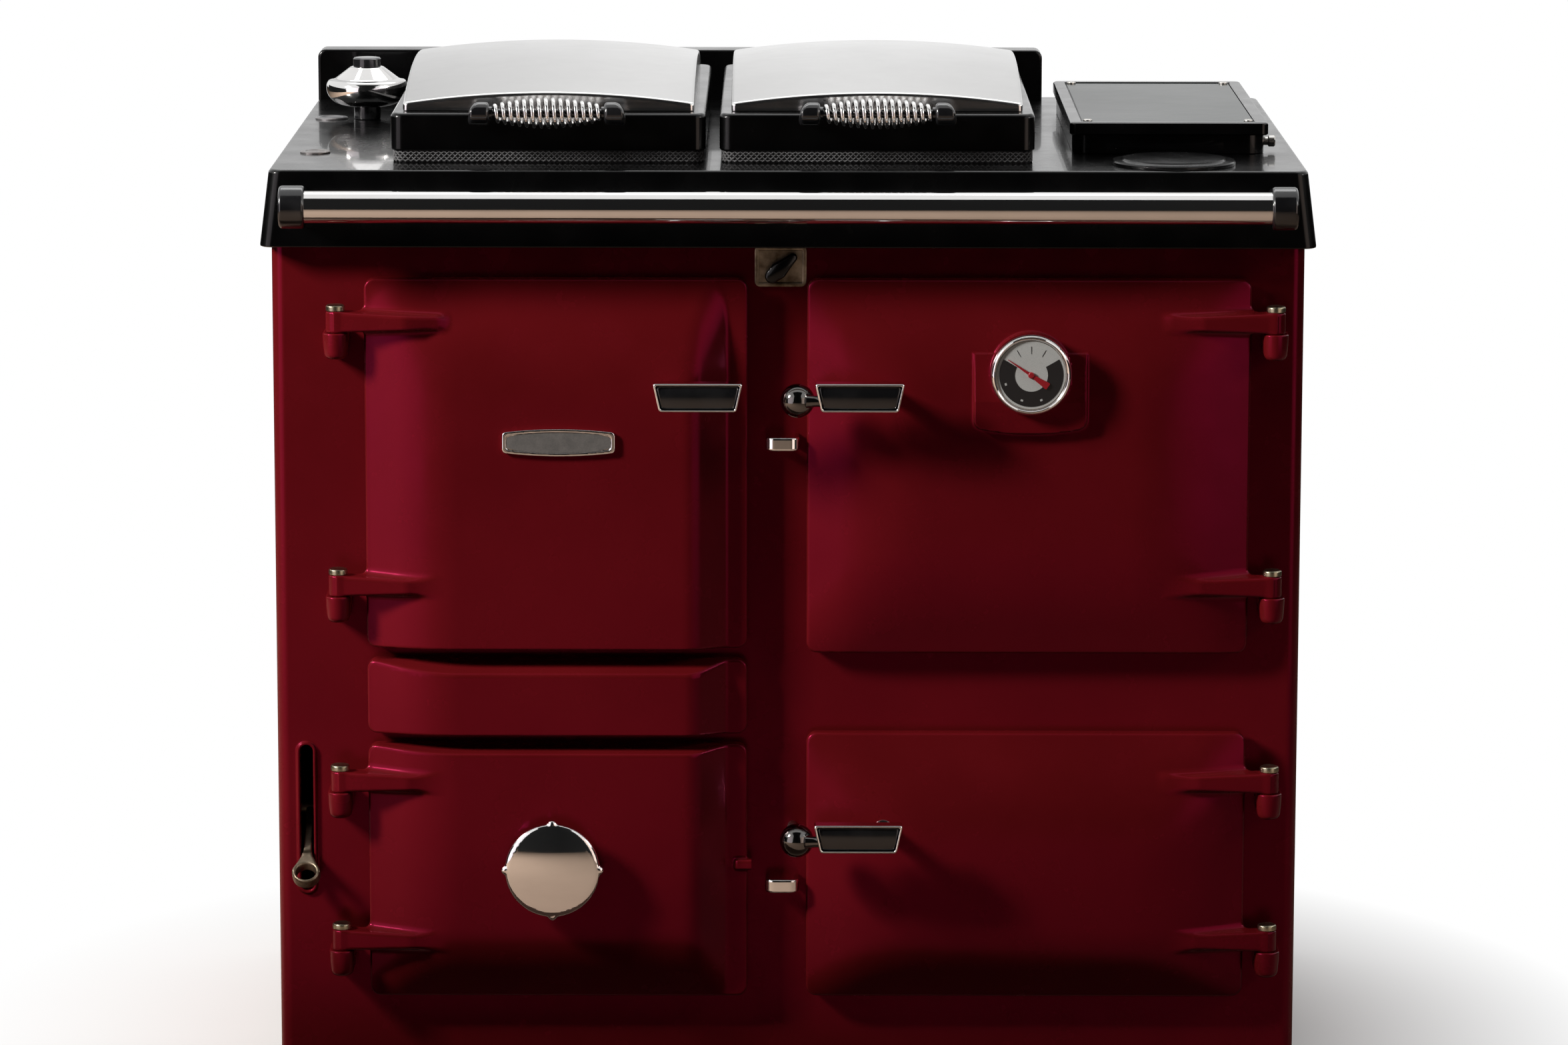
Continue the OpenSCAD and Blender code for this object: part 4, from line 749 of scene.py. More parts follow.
def make_doors():
    make_door("fire_door", FIRE_BOX, (58, 50, 2, 70), 0, UPPER_HINGES, RIM_STRIP)
    make_door("ash_door", ASH_BOX, (58, 50, 50, 5), 0, LOWER_HINGES, RIM_STRIP,
              extra=with_tongue, more=((TONGUE_X,), (236, 247)))
    make_door("upper_oven_door", OVEN_BOX, (70, 70, 72, 70), 1, UPPER_HINGES, extra=with_dial_pad,
              more=(DIAL[0] + np.arange(-54, 55, 9), DIAL[1] + np.arange(-60, 55, 10)))
    make_door("lower_oven_door", LOWER_BOX, (70, 70, 50, 70), 1, LOWER_HINGES)
    left, right, foot, top = STRIP_BOX
    strip = skin_over(lambda p: crowned_at(p, STRIP_BOX, (58, 50, 2, 10), RIM_STRIP),
                      marks(left - 3, right + 3, [left, right, left + 58, right - 50,
                                                  right - RIM_STRIP], 1.6, 16),
                      marks(-46, 4, [BACK_Y, RIM_Y, FACE_Y], 1.3, 4, 3),
                      marks(foot - 3, top + 3, [foot, top], 1.4, 10))
    add_piece("infill_strip_cast", strip, "claret_enamel", "infill_strip")


# ---- Hinges, staples and stops ----

def bracket_at(p, pin_x, top):
    """Corbel under a hinge arm: a round nose on a block, a little narrower below."""
    x, y, z = p.T
    t = np.clip((top - z) / CORBEL_H, 0, 1.2)
    radius = 12 - 1.8 * t ** 2
    nose = np.hypot(x - pin_x, np.minimum(y - PIN_Y, 0)) - radius
    nose = soft_max(nose, y - 2, 0.5)
    return soft_max(soft_max(nose, z - top, 1.5), top - CORBEL_H - z, 6.0)


def make_hinges():
    """Corbels, and pins with round-edged heads."""
    corbels, pins = [], []
    head = [(0.5, 0.3), (HEAD_R - 0.6, 0.3), (HEAD_R, 0.9), (HEAD_R, 4.4), (HEAD_R - 0.5, 5.4),
            (HEAD_R - 1.6, 6.1), (0.5, 6.3)]
    shank = [(0.5, -ARM_H - 25.3), (5.0, -ARM_H - 25.3), (5.0, 0.35), (0.5, 0.35)]
    for pin_x, height in PINS:
        top = height - ARM_H / 2 - 0.3
        corbels.append(skin_over(
            lambda p: bracket_at(p, pin_x, top), ruler(pin_x - 15, (pin_x + 15, 1.5)),
            ruler(-43, (4, 1.8)), ruler(top - 28, (top - 19, 1.0), (top - 3, 2.5), (top + 3, 0.8))))
        place = (pin_x, PIN_Y, height + ARM_H / 2)
        pins += [turned(head, place, 2, 32), turned(shank, place, 2, 24)]
    add_piece("hinge_corbels", joined(corbels), "claret_enamel", "hinge_brackets")
    add_piece("hinge_pins_turned", joined(pins), "pin_steel", "hinge_pins")


def staple_at(p, height):
    """Bent strap that stands out from the mullion, closed by its two legs."""
    x, y, z = p.T
    middle, out, strap, half = MULLION_X + 5, -30.0, 5.0, 6.5
    outer = panel_at(x, y, (middle - 16, middle + 16, out, 12), 9.0)
    inner = panel_at(x, y, (middle - 11, middle + 11, out + strap, 14), 5.0)
    loop = soft_max(soft_max(outer, -inner, 1.2), y - 1.0, 0.5)
    return soft_max(loop, np.abs(z - height) - half, 2.4)


# ---- Handles ----

FIRE_TRAY = span("fire_grip")
OVEN_TRAY = span("upper_grip")
LOWER_TRAY = span("lower_grip")
BALL_X, BALL_Y = span("upper_handle")[0][0] + 16, -69.0
TRAY_WALL = 4.0
TRAY_FRONT, TRAY_BACK = -88.0, -70.0


def mid_height(tray):
    """Height of a handle's middle."""
    return (tray[0][2] + tray[1][2]) / 2


def make_staples():
    """Catch staples for two doors, and the stops that the other two close on."""
    staples = [skin_over(lambda p: staple_at(p, height), ruler(MULLION_X - 14, (MULLION_X + 24, 0.9)),
                         ruler(-33, (3, 0.9)), ruler(height - 9, (height + 9, 0.9)))
               for height in STAPLE_HEIGHTS]
    add_piece("staples", joined(staples), "chrome", "door_catches")
    profile = [(0.5, -24), (4.2, -24), (5, -23), (5, 0.5), (0.5, 0.5)]
    stops = [turned(profile, (BALL_X - 4, 0, mid_height(tray) - 6), 1, 24)
             for tray in (OVEN_TRAY, LOWER_TRAY)]
    add_piece("handle_stops", joined(stops), "steel")


def trapeze_at(x, z, tray, grow, corner):
    """Distance to a handle's outline, wider at the top than at the foot."""
    (x0, _, z0), (x1, _, z1) = tray
    lean, tall = 6.0, z1 - z0
    size = math.hypot(lean, tall)
    middle = (x0 + x1) / 2
    half_foot = (x1 - x0) / 2 - lean * tall / (tall + 8)
    side = ((np.abs(x - middle) - half_foot) * tall - (z - z0) * (lean * tall / (tall + 8))) / size
    return soft_max(side, soft_max(z - z1, z0 - z, 0.5), corner) - grow


def make_handle(node, grip, tray, spindle_x):
    """Bright tray with a black grip in it, crowned a little along its length, on a spindle."""
    (x0, _, z0), (x1, _, z1) = tray
    height = mid_height(tray)

    def bowl(p):
        x, y, z = p.T
        outer = soft_max(trapeze_at(x, z, tray, TRAY_WALL, 3.0),
                         np.maximum(TRAY_FRONT - y, y - TRAY_BACK), 2.2)
        pocket = soft_max(trapeze_at(x, z, tray, TRAY_WALL - 2.2, 2.0), y - TRAY_BACK + TRAY_WALL, 1.0)
        return soft_max(outer, -pocket, 1.2)

    def insert(p):
        x, y, z = p.T
        crown = TRAY_FRONT + 1.0 + 0.012 * (z - height) ** 2 + 0.0006 * (x - (x0 + x1) / 2) ** 2
        return soft_max(trapeze_at(x, z, tray, 1.4, 3.0), np.maximum(crown - y, y - TRAY_BACK + 3.9), 2.0)

    for name, field, reach, skin, solid in (
            (node + "_tray", bowl, 6, "chrome", node), (grip + "_insert", insert, 3, "grip_black", grip)):
        shape = skin_over(field, marks(x0 - reach, x1 + reach, [x0, x0 + 5, x1 - 5, x1], 0.9, 5, 5),
                          marks(-91, -66, [TRAY_FRONT, -74, TRAY_BACK], 0.7, 2, 2),
                          marks(z0 - reach, z1 + reach, [z0, z1], 0.9, 2.5, 4))
        add_piece(name, shape, skin, solid, body=node)
    spindle = [(0.5, TRAY_BACK - 1), (9.5, TRAY_BACK - 1), (9.5, TRAY_BACK + 2), (7, TRAY_BACK + 4),
               (7, FACE_Y - 3), (9, FACE_Y - 2.5), (9.6, FACE_Y - 1.6), (9.6, FACE_Y - 0.4),
               (6.9, FACE_Y - 0.3), (6.9, FACE_Y + 8), (0.5, FACE_Y + 8)]
    add_piece(node + "_spindle", turned(spindle, (spindle_x, 0, height), 1, 48), "chrome",
              body=node)


def make_ball(node, tray):
    """Ball end of an oven handle, on its shank, in chrome darkened as painted shade for the dark room it
    reflects.
    """
    height, radius = mid_height(tray), 16.0
    ball = [(max(radius * math.sin(a), 0.1), -radius * math.cos(a))
            for a in np.linspace(0.001, math.pi - 0.001, 33)]
    shank = [(0.5, 8), (6.5, 8), (5.2, 17), (5.0, 30), (0.5, 30)]
    parts = [turned(ball, (BALL_X, BALL_Y, height - 5), 0, 48),
             turned(shank, (BALL_X, -79, height - 4), 0, 24)]
    add_piece(node + "_ball", joined(parts), "ball_chrome_painted_shade", crease=50, body=node)


def make_handles():
    make_handle("fire_handle", "fire_grip", FIRE_TRAY, FIRE_BOX[1] - 70)
    for side, tray in (("upper", OVEN_TRAY), ("lower", LOWER_TRAY)):
        make_handle(side + "_handle", side + "_grip", tray, OVEN_BOX[0] + 73)
        make_ball(side + "_handle", tray)


# ---- Badge, dial and air wheel ----

def badge_outline(x, z, half_w, half_h):
    """Long lens: two shallow arcs cut off square at the ends."""
    sag = 3.3
    radius = (half_w ** 2 + sag ** 2) / (2 * sag)
    arcs = np.hypot(x, np.abs(z) + radius - half_h) - radius
    return soft_max(arcs, np.abs(x) - half_w, 4.0)


def make_badge():
    low, high, middle, (half_w, _, half_h) = extent("badge")

    def field(p):
        x, y, z = p[:, 0] - middle[0], p[:, 1], p[:, 2] - middle[2]
        plate = soft_max(badge_outline(x, z, half_w, half_h),
                         np.maximum(low[1] - y, y - high[1] - 0.5), 1.2)
        dish = soft_max(badge_outline(x, z, half_w - 3.5, half_h - 3.0), y - low[1] - 1.1, 0.3)
        return soft_max(plate, -dish, 0.8)

    rim = skin_over(field, marks(low[0] - 3, high[0] + 3, [low[0], low[0] + 5, high[0] - 5, high[0]],
                                 0.8, 4),
                    ruler(low[1] - 1.5, (high[1] + 2, 0.6)), ruler(low[2] - 2, (high[2] + 2, 0.8)))
    add_piece("badge_rim", rim, "chrome", "badge", body="fire_door")
    count = 64
    angles = np.linspace(0, TURN, count, endpoint=False)
    reach = np.ones(count)
    for _ in range(24):
        reach -= badge_outline(reach * np.cos(angles), reach * np.sin(angles), half_w - 4.0, half_h - 3.4)
    loop = np.stack([middle[0] + reach * np.cos(angles), middle[2] + reach * np.sin(angles)], 1)
    points = [(x, y, z) for y in (low[1] + 0.75, low[1] + 1.4) for x, z in loop]
    add_piece("badge_bare_field", (points, strip_faces(2, count)), "badge_field", crease=30,
              body="fire_door")


def ring_part(start, stop, inner, outer, y, thick=0.15):
    """Flat part of a ring round the dial's centre, from one angle to another in degrees."""
    count = max(2, math.ceil((stop - start) / 5))
    points = []
    for a in np.radians(np.linspace(start, stop, count + 1)):
        for radius, depth in ((inner, 0), (outer, 0), (outer, thick), (inner, thick)):
            points.append((DIAL[0] + radius * math.cos(a), y + depth, DIAL[1] + radius * math.sin(a)))
    return points, strip_faces(count + 1, 4)


def make_dial():
    """Bezel, plate, black band with its marks and dashes, needle and glass."""
    door, face_y, front = "upper_oven_door", span("dial_face")[0][1], DIAL_LOW[1]
    inner = DIAL_R - 6.2

    def round_part(profile, count=72, hollow=False):
        return turned(profile, (DIAL[0], 0, DIAL[1]), 1, count, hollow)

    bezel = [(inner - 0.2, PAD_Y + 0.1), (DIAL_R - 2, PAD_Y + 0.1), (DIAL_R - 0.4, PAD_Y - 1),
             (DIAL_R, PAD_Y - 4), (DIAL_R - 0.6, front + 3), (DIAL_R - 2.2, front + 0.6),
             (DIAL_R - 3.6, front + 0.05), (DIAL_R - 5.0, front + 0.9), (inner, front + 3.2),
             (inner - 0.2, face_y + 1)]
    plate = [(0.2, face_y + 0.2), (inner - 0.3, face_y + 0.2), (inner - 0.3, face_y + 1.2),
             (1.2, face_y + 1.2), (1.2, face_y + 4), (0.2, face_y + 4)]
    pane = [(0.2, front + 2.7), (inner - 0.3, front + 2.7), (inner - 0.3, front + 3.3),
            (0.2, front + 3.3)]
    band = [ring_part(150, 390, 15.5, inner - 2.4, face_y)]
    band += [ring_part(a - 0.5, a + 0.5, 20.0, 27.0, face_y - 0.02) for a in (60, 90, 120)]
    dashes = [ring_part(a - 2.6, a + 2.6, 24.4, 26.2, face_y - 0.1) for a in (200, 250, 292)]
    add_piece("dial_bezel_ring", round_part(bezel, hollow=True), "chrome", "dial_bezel", 50,
              body=door)
    add_piece("dial_plate", round_part(plate), "dial_white", "dial_face", 30, body=door)
    add_piece("dial_black_band", joined(band), "dial_black", crease=30, body=door)
    add_piece("dial_dashes", joined(dashes), "dial_white", crease=30, body=door)

    turn = math.radians(NEEDLE_AT)
    along, side = np.array([math.cos(turn), math.sin(turn)]), np.array([-math.sin(turn), math.cos(turn)])
    outline = [(-19, -3.0), (-17.5, -3.4), (0, -1.4), (26.5, -0.25), (26.5, 0.25), (0, 1.4),
               (-17.5, 3.4), (-19, 3.0)]
    needle = []
    for y in (face_y - 1.3, face_y - 0.5):
        for a, b in outline:
            x, z = np.array(DIAL) + a * along + b * side
            needle.append((x, y, z))
    hub = [(0.2, -1.9), (2.4, -1.8), (3.0, -1.2), (3.0, -0.4), (0.2, -0.4)]
    hub = round_part([(r, face_y + depth) for r, depth in hub], 32)
    add_piece("dial_pointer", joined([(needle, strip_faces(2, len(outline))), hub]), "needle_red",
              "dial_needle", 30, body="dial_needle")
    add_piece("dial_glass", round_part(pane), "glass", crease=30, body=door)


def make_air_wheel():
    """Domed disc with four pointed nubs, on its shaft."""
    _, _, middle, half = extent("air_wheel")
    centre, radius, nub = (middle[0], middle[2]), half[0] - 4, 4.2
    back, rim, crown = -56.2, -65.0, -69.8
    curve = (radius ** 2 + (rim - crown) ** 2) / (2 * (rim - crown))

    def field(p):
        x, y, z = p[:, 0] - centre[0], p[:, 1], p[:, 2] - centre[1]
        disc = np.hypot(x, z) - radius
        for a, b in ((1, 0), (-1, 0), (0, 1), (0, -1)):
            bud = np.hypot(x - a * (radius - 0.6), z - b * (radius - 0.6)) - nub
            disc = soft_min(disc, bud, 2.5)
        dome = np.sqrt(x ** 2 + z ** 2 + (y - crown - curve) ** 2) - curve
        front = soft_max(disc, rim - y, 3.5)
        face = soft_max(dome, disc + 2.0, 3.0)
        whole = soft_min(front, np.maximum(face, y - rim), 1.5)
        return soft_max(whole, y - back, 2.0)

    across = marks(-radius - 8, radius + 8, [-radius - 4, -radius, radius, radius + 4], 1.0, 5, 7)
    wheel = skin_over(field, centre[0] + across, marks(-72, -53, [crown, rim, back], 0.9, 1.5, 2),
                      centre[1] + across)
    add_piece("air_wheel_dome", wheel, "chrome", "air_wheel", body="air_wheel")
    shaft = [(0.3, -56.5), (9, -56.5), (9, -52), (5, -50), (5, 9.5), (0.3, 9.5)]
    add_piece("air_wheel_shaft", turned(shaft, (centre[0], 0, centre[1]), 1, 32), "steel",
              body="air_wheel")


# ---- Escutcheon, damper lever and riddling lever ----

def make_damper():
    low, high, middle, half = extent("damper_plate")

    def plate(p):
        x, y, z = p[:, 0] - middle[0], p[:, 1], p[:, 2] - middle[2]
        outline = panel_at(x, z, (-half[0], half[0], -half[2], half[2]), 5.0)
        slab = soft_max(outline, np.maximum(-3.0 - y, y - 0.5), 1.0)
        dish = soft_max(outline + 4.0, y + 1.7, 0.3)
        return soft_max(slab, -dish, 0.8)

    shape = skin_over(plate, ruler(low[0] - 2, (high[0] + 2, 1.0)), ruler(-5, (2, 0.6)),
                      ruler(low[2] - 2, (high[2] + 2, 1.0)))
    add_piece("escutcheon", shape, "bronzed_steel", "damper_plate")
    pivot, turn = (MULLION_X + 1, 810.0), math.radians(42)

    def lever(p):
        x, y, z = p[:, 0] - pivot[0], p[:, 1], p[:, 2] - pivot[1]
        a, b = x * math.cos(turn) + z * math.sin(turn), -x * math.sin(turn) + z * math.cos(turn)
        t = np.clip(a / 18, 0, 1)
        tab = np.hypot(a - 18 * t, b) - (8.0 - 3.6 * t)
        tail = np.hypot(a + np.clip(-a, 0, 8), b) - 7.0
        crown = -11.0 + 0.035 * b ** 2 + 0.008 * a ** 2
        return soft_max(soft_min(tab, tail, 3.0), np.maximum(crown - y, y + 3.4), 2.4)

    shape = skin_over(lever, ruler(pivot[0] - 20, (pivot[0] + 24, 1.0)), ruler(-13, (-2, 0.8)),
                      ruler(pivot[1] - 20, (pivot[1] + 24, 1.0)))
    add_piece("damper_tab", shape, "black_enamel", "damper_lever", body="damper_lever")


def make_riddling_lever():
    """Blade that forks round a ring-shaped end, on a cross shaft behind the plate."""
    pivot_y, height, tilt = 45.0, SLOT[1], math.radians(38)
    reach, neck, eye_r, bore_r = 83.0, 60.0, 13.0, 9.6

    def field(p):
        x, y, z = p[:, 0] - SLOT[0], p[:, 1] - pivot_y, p[:, 2] - height
        ahead = -(y * math.cos(tilt) + z * math.sin(tilt))
        rise = -y * math.sin(tilt) + z * math.cos(tilt)
        blade = brick_at(np.stack([x, ahead, rise], 1), (-4, -6, -5), (4, neck + 4, 5), 1.5)
        around = np.hypot(x, ahead - reach)
        ring = soft_max(around - eye_r, bore_r - around, 2.0)
        t = np.clip((ahead - neck) / 20, 0, 1)
        prongs = np.maximum(np.abs(x) - 4 - 9 * t, np.maximum(neck - ahead, ahead - reach))
        prongs = soft_max(prongs, bore_r - around, 2.0)
        flat = soft_max(soft_min(ring, prongs, 2.0), np.abs(rise) - 6, 3.0)
        return soft_min(blade, flat, 3.0)

    yoke = skin_over(field, ruler(SLOT[0] - 16, (SLOT[0] + 16, 1.1)), ruler(-50, (-10, 1.3), (54, 3.0)),
                     ruler(height - 74, (height - 30, 1.3), (height + 14, 3.0)))
    node = "riddling_lever"
    add_piece("riddling_yoke", yoke, "bronzed_steel", node, body=node)
    shaft_end = span(node)[1][0]
    shaft = [(0.3, SLOT[0] - 12), (6, SLOT[0] - 12), (6, shaft_end), (0.3, shaft_end)]
    add_piece("riddling_shaft", turned(shaft, (0, pivot_y, height), 0, 32), "bronzed_steel",
              body=node)


# ---- Rail, knob, plugs and flue ----

def mirrored(middle, field, reach, ys, zs):
    """The shapes of a field to the left and to the right of x = middle.

    The field and the marks in reach are those of the right one, from the middle.
    """
    shapes = []
    for side in (-1, 1):
        xs = reach if side > 0 else -reach[::-1]
        shapes.append(skin_over(lambda p: field((p - (middle, 0, 0)) * (side, 1, 1)), middle + xs,
                                ys, zs))
    return joined(shapes)


def make_handrail():
    low, high, (_, y, z), (_, _, radius) = extent("handrail")
    rail = [(0.5, low[0] + 0.2), (radius, low[0] + 0.2), (radius, high[0] - 0.2), (0.5, high[0] - 0.2)]
    add_piece("rail_tube", turned(rail, (0, y, z), 0, 96), "chrome", "handrail")
    outer_x = span("rail_brackets")[1][0]
    inner_x = outer_x - 24

    def bracket(q):
        drum = drum_at(q, ((inner_x + outer_x) / 2, y, z), 0, 20, 12, 3.0)
        arm = brick_at(q, (inner_x + 1, y, z - 16), (outer_x - 1, -12, z + 13), 5)
        return soft_min(drum, arm, 8.0)

    reach = ruler(inner_x - 3, (inner_x + 5, 1.2), (outer_x - 5, 3), (outer_x + 3, 1.2))
    pair = mirrored(0, bracket, reach, ruler(-93, (-9, 2.0)), ruler(z - 23, (z + 23, 2.0)))
    add_piece("rail_barrels", pair, "grip_black", "rail_brackets")


def make_knob():
    """Bright knob with a round-bellied band and a cone, on a black stem and under a black cap."""
    _, high, middle, half = extent("plate_knob")
    centre, radius = (middle[0], middle[1], 0), half[0]
    foot, top, band = PLATE_Z + 0.4, high[2], PLATE_Z + 13
    cap_z, stem_r = top - 9, 14
    belly = [(stem_r + (radius - stem_r) * math.sin(a) ** 0.8, band + 19 * (1 - math.cos(a)))
             for a in np.linspace(0.02, QUARTER, 12)]
    shoulder = [(radius - 5 * (1 - math.cos(a)), band + 19 + 8 * math.sin(a))
                for a in np.linspace(0.2, QUARTER, 6)]
    cone = eased([(radius - 6.5, band + 27.2), (radius - 9, band + 28), (16, cap_z), (0.4, cap_z)], 2.0)
    head = [(0.4, band)] + belly + shoulder + [tuple(q) for q in cone]
    stem = [(0.4, foot), (13, foot), (13.5, foot + 1), (13.5, band + 1), (0.4, band + 1)]
    cap = [(0.4, cap_z - 0.5), (13.8, cap_z - 0.5), (13.8, top - 1.5), (12.8, top - 0.4),
           (11, top - 0.05), (0.4, top - 0.05)]
    add_piece("knob_head", turned(head, centre, 2, 96), "chrome", "plate_knob", 40,
              body="plate_knob")
    add_piece("knob_stem_and_cap",
              joined([turned(stem, centre, 2, 48), turned(cap, centre, 2, 48)]), "grip_black",
              crease=40, body="plate_knob")


def make_covers():
    """Flue cleaning cover and the two plugs in the top plate."""
    _, _, middle, half = extent("cleaning_cover")
    radius = half[0]
    disc = [(0.4, 0.05), (radius - 0.3, 0.05), (radius, 0.6), (radius, 2.8), (radius - 1.2, 4.0),
            (radius - 8, 4.2), (radius - 9, 4.9), (radius - 10, 6.0), (0.4, 6.0)]
    add_piece("cleaning_disc", turned(disc, (middle[0], middle[1], PLATE_Z), 2, 96),
              "black_enamel", "cleaning_cover", 40)
    plugs = []
    for x, y, r in ((SIDE_LOW[0] + 27, 429, 16.5), (SIDE_LOW[0] + 33, 129, 14.5)):
        plug = [(0.3, 0.05), (r, 0.05), (r, 1.2), (r - 0.8, 2.0), (r - 5, 2.0), (r - 5.5, 1.4),
                (0.3, 1.4)]
        plugs.append(turned(plug, (x, y, PLATE_Z), 2, 48))
    add_piece("plug_discs", joined(plugs), "ground_iron", "plate_plugs")


def screw_field(x, y, z):
    """A slotted round head."""
    def field(p):
        slot = np.maximum(np.abs(p[:, 1] - y) - 0.6, z + 0.7 - p[:, 2])
        return soft_max(drum_at(p, (x, y, z), 2, 4.6, 1.9, 1.2), -slot, 0.3)
    return field


def make_flue():
    """Flue box, its cover with a sunk pane and four screws, and the damper's rod."""
    low, high = span("flue_box")
    tiers = [(i, z, 16 - i) for i, z in ((0.6, PLATE_Z + 0.1), (0, PLATE_Z + 0.8), (0, high[2] - 0.2),
                                         (1, high[2]))]
    add_piece("flue_box_cast", stacked(plan(low, high), tiers, 8), "black_enamel", "flue_box", 40)
    low, high = span("flue_cover")
    box, top, rim, dish = plan(low, high), high[2], 12.0, 4.0
    tiers = [(i, z, max(7 - i, 3)) for i, z in (
        (1.2, low[2]), (0, low[2] + 1.2), (0, top - 2.0), (0.7, top - 0.7), (2.2, top),
        (rim - 1, top), (rim, top - 1), (rim, top - dish))]
    add_piece("flue_cover_rim", stacked(box, tiers, 6), "black_enamel", "flue_cover")
    # Sunk pane: its grey-green colour is a painted reflection of the grey backdrop.
    tiers = [(rim + 0.4, top - dish, 3.0), (rim + 0.4, top - 1.6, 3.0), (rim + 1.2, top - 0.9, 3.0)]
    add_piece("flue_cover_pane", stacked(box, tiers, 6), "pane")

    (x0, y0, _), (x1, y1, _) = span("cover_screws")
    z, head_r = top - 1.0, 4.5
    screws = [skin_over(screw_field(x, y, z), ruler(x - 6, (x + 6, 0.6)), ruler(y - 6, (y + 6, 0.5)),
                        ruler(z - 3, (z + 3, 0.5)))
              for x in (x0 + head_r, x1 - head_r) for y in (y0 + head_r, y1 - head_r)]
    add_piece("flue_cover_screws", joined(screws), "steel", "cover_screws")
    low, high, middle, _ = extent("damper_rod")
    end = high[0]
    rod = [(0.3, low[0]), (6, low[0] + 0.5), (6, low[0] + 12), (4, low[0] + 12.5), (4, end - 7),
           (5.5, end - 6), (5.5, end - 1), (4.5, end), (0.3, end)]
    add_piece("damper_rod_turned", turned(rod, (0, middle[1], middle[2]), 0, 32), "steel",
              "damper_rod", body="damper_rod")


# ---- Hotplates and lids ----

LIDS = ("left", "right")
LID_BACK = 520.0


def make_seals():
    """Each seal is a core under rows of knitted stitches, which run round it in zigzags."""
    low, high = span("hotplate_seals")
    pitch, yarn, rows, corner = 5.2, 1.25, 4, 12
    foot, top = low[2] + 0.1, high[2] - 0.1
    core = [(1, foot, corner), (0.6, low[2] + 5, corner), (1, top, corner), (7, top, 8), (7, foot, 8)]
    parts = []
    for lid in LIDS:
        frame_low, frame_high = span(lid + "_lid_frame")
        box = frame_low[0] + 3, frame_high[0] - 3, low[1] + 2, high[1] - 2
        parts.append(stacked(box, core, 6, hollow=True))
        loop = round_loop(*box, corner, 12)
        loop = np.array(loop + loop[:1])
        length = np.concatenate([[0], np.cumsum(np.linalg.norm(np.diff(loop, axis=0), axis=1))])
        stitches = int(length[-1] / pitch) * 2
        along = np.linspace(0, length[-1], stitches, endpoint=False)
        xs, ys = np.interp(along, length, loop[:, 0]), np.interp(along, length, loop[:, 1])
        swing = yarn * (-1.0) ** np.arange(stitches)
        for row in range(rows):
            z = low[2] + 1.7 + row * 2.65 + swing * (-1) ** row
            path = np.stack([xs, ys, np.clip(z, low[2] + yarn, high[2] - yarn)], 1)
            parts.append(sweep(path, yarn, 5))
    add_piece("knitted_seals", joined(parts), "rope", "hotplate_seals", 80)


def make_hotplates():
    inset, top, parts = 13.0, PLATE_Z + 8, []
    tiers = [(inset, PLATE_Z + 0.1, 14.0), (inset, top - 0.8, 14.0), (inset + 0.8, top, 14.0)]
    for lid in LIDS:
        low, high = span(lid + "_lid_frame")
        parts.append(stacked((low[0], high[0], low[1], LID_BACK), tiers, 8))
    add_piece("hotplate_tops", joined(parts), "ground_iron", "hotplates")


def dome_field(low, high):
    """A ball's top cut off upright on four sides, with soft edges."""
    middle, half = (low + high) / 2, (high - low) / 2
    rise = high[2] - low[2] - 7.5
    radius = (half[0] ** 2 + half[1] ** 2 + rise ** 2) / (2 * rise)

    def field(p):
        q = p - (middle[0], middle[1], high[2] - radius)
        ball = np.linalg.norm(q, axis=1) - radius
        walls = soft_max(np.abs(q[:, 0]) - half[0], np.abs(q[:, 1]) - half[1], 5.0)
        return np.maximum(soft_max(ball, walls, 2.6), low[2] + 0.2 - p[:, 2])
    return field


def make_lids():
    """Each lid is a hollow casting with hinge ears at its back, a dome and a coil grip."""
    soft, ear_r, rod_y = 4.5, 7, 530.0
    ear = [(4.1, -ear_r), (7.5, -ear_r), (7.5, ear_r), (4.1, ear_r)]
    for lid in LIDS:
        body = lid + "_lid"
        low, high, middle, half = extent(body + "_frame")
        z0, z1 = low[2], high[2]
        tiers = [(19, z1 - 6, 6), (18, z0 + 1, 7), (17, z0, 8), (1.2, z0, 11), (0, z0 + 1.2, 12),
                 (0, z1 - soft, 12)]
        for a in np.linspace(0.3, QUARTER, 5):
            i = soft * (1 - math.cos(a))
            tiers.append((i, z1 - soft * (1 - math.sin(a)), 12 - i))
        parts = [stacked((low[0], high[0], low[1], LID_BACK), tiers, 8)]
        rod_z = z0 + 8
        for side in (-1, 1):
            for way in (-1, 1):
                x = middle[0] + side * (half[0] - 40) + way * 14.3
                parts.append(turned(ear, (x, rod_y, rod_z), 0, 32, hollow=True))
                box = x - ear_r, x + ear_r, LID_BACK - 2, rod_y - 5
                parts.append(stacked(box, [(0, rod_z - ear_r, 1), (0, rod_z + ear_r, 1)], 3))
        add_piece(lid + "_lid_casting", joined(parts), "black_enamel", body + "_frame", 40,
                  body=body)

        low, high = span(body + "_dome")
        dome = skin_over(dome_field(low, high),
                         marks(low[0] - 3, high[0] + 3, [low[0], high[0]], 1.3, 14, 5),
                         marks(low[1] - 3, high[1] + 3, [low[1], high[1]], 1.3, 24, 5),
                         ruler(low[2] - 1.5, (low[2] + 3, 0.9), (high[2] + 2, 1.3)))
        add_piece(lid + "_lid_arch", dome, "polished_steel", body + "_dome", body=body)
        make_grip(lid, body, lid_y=span(body + "_frame")[0][1], z=z1 + 3.0)


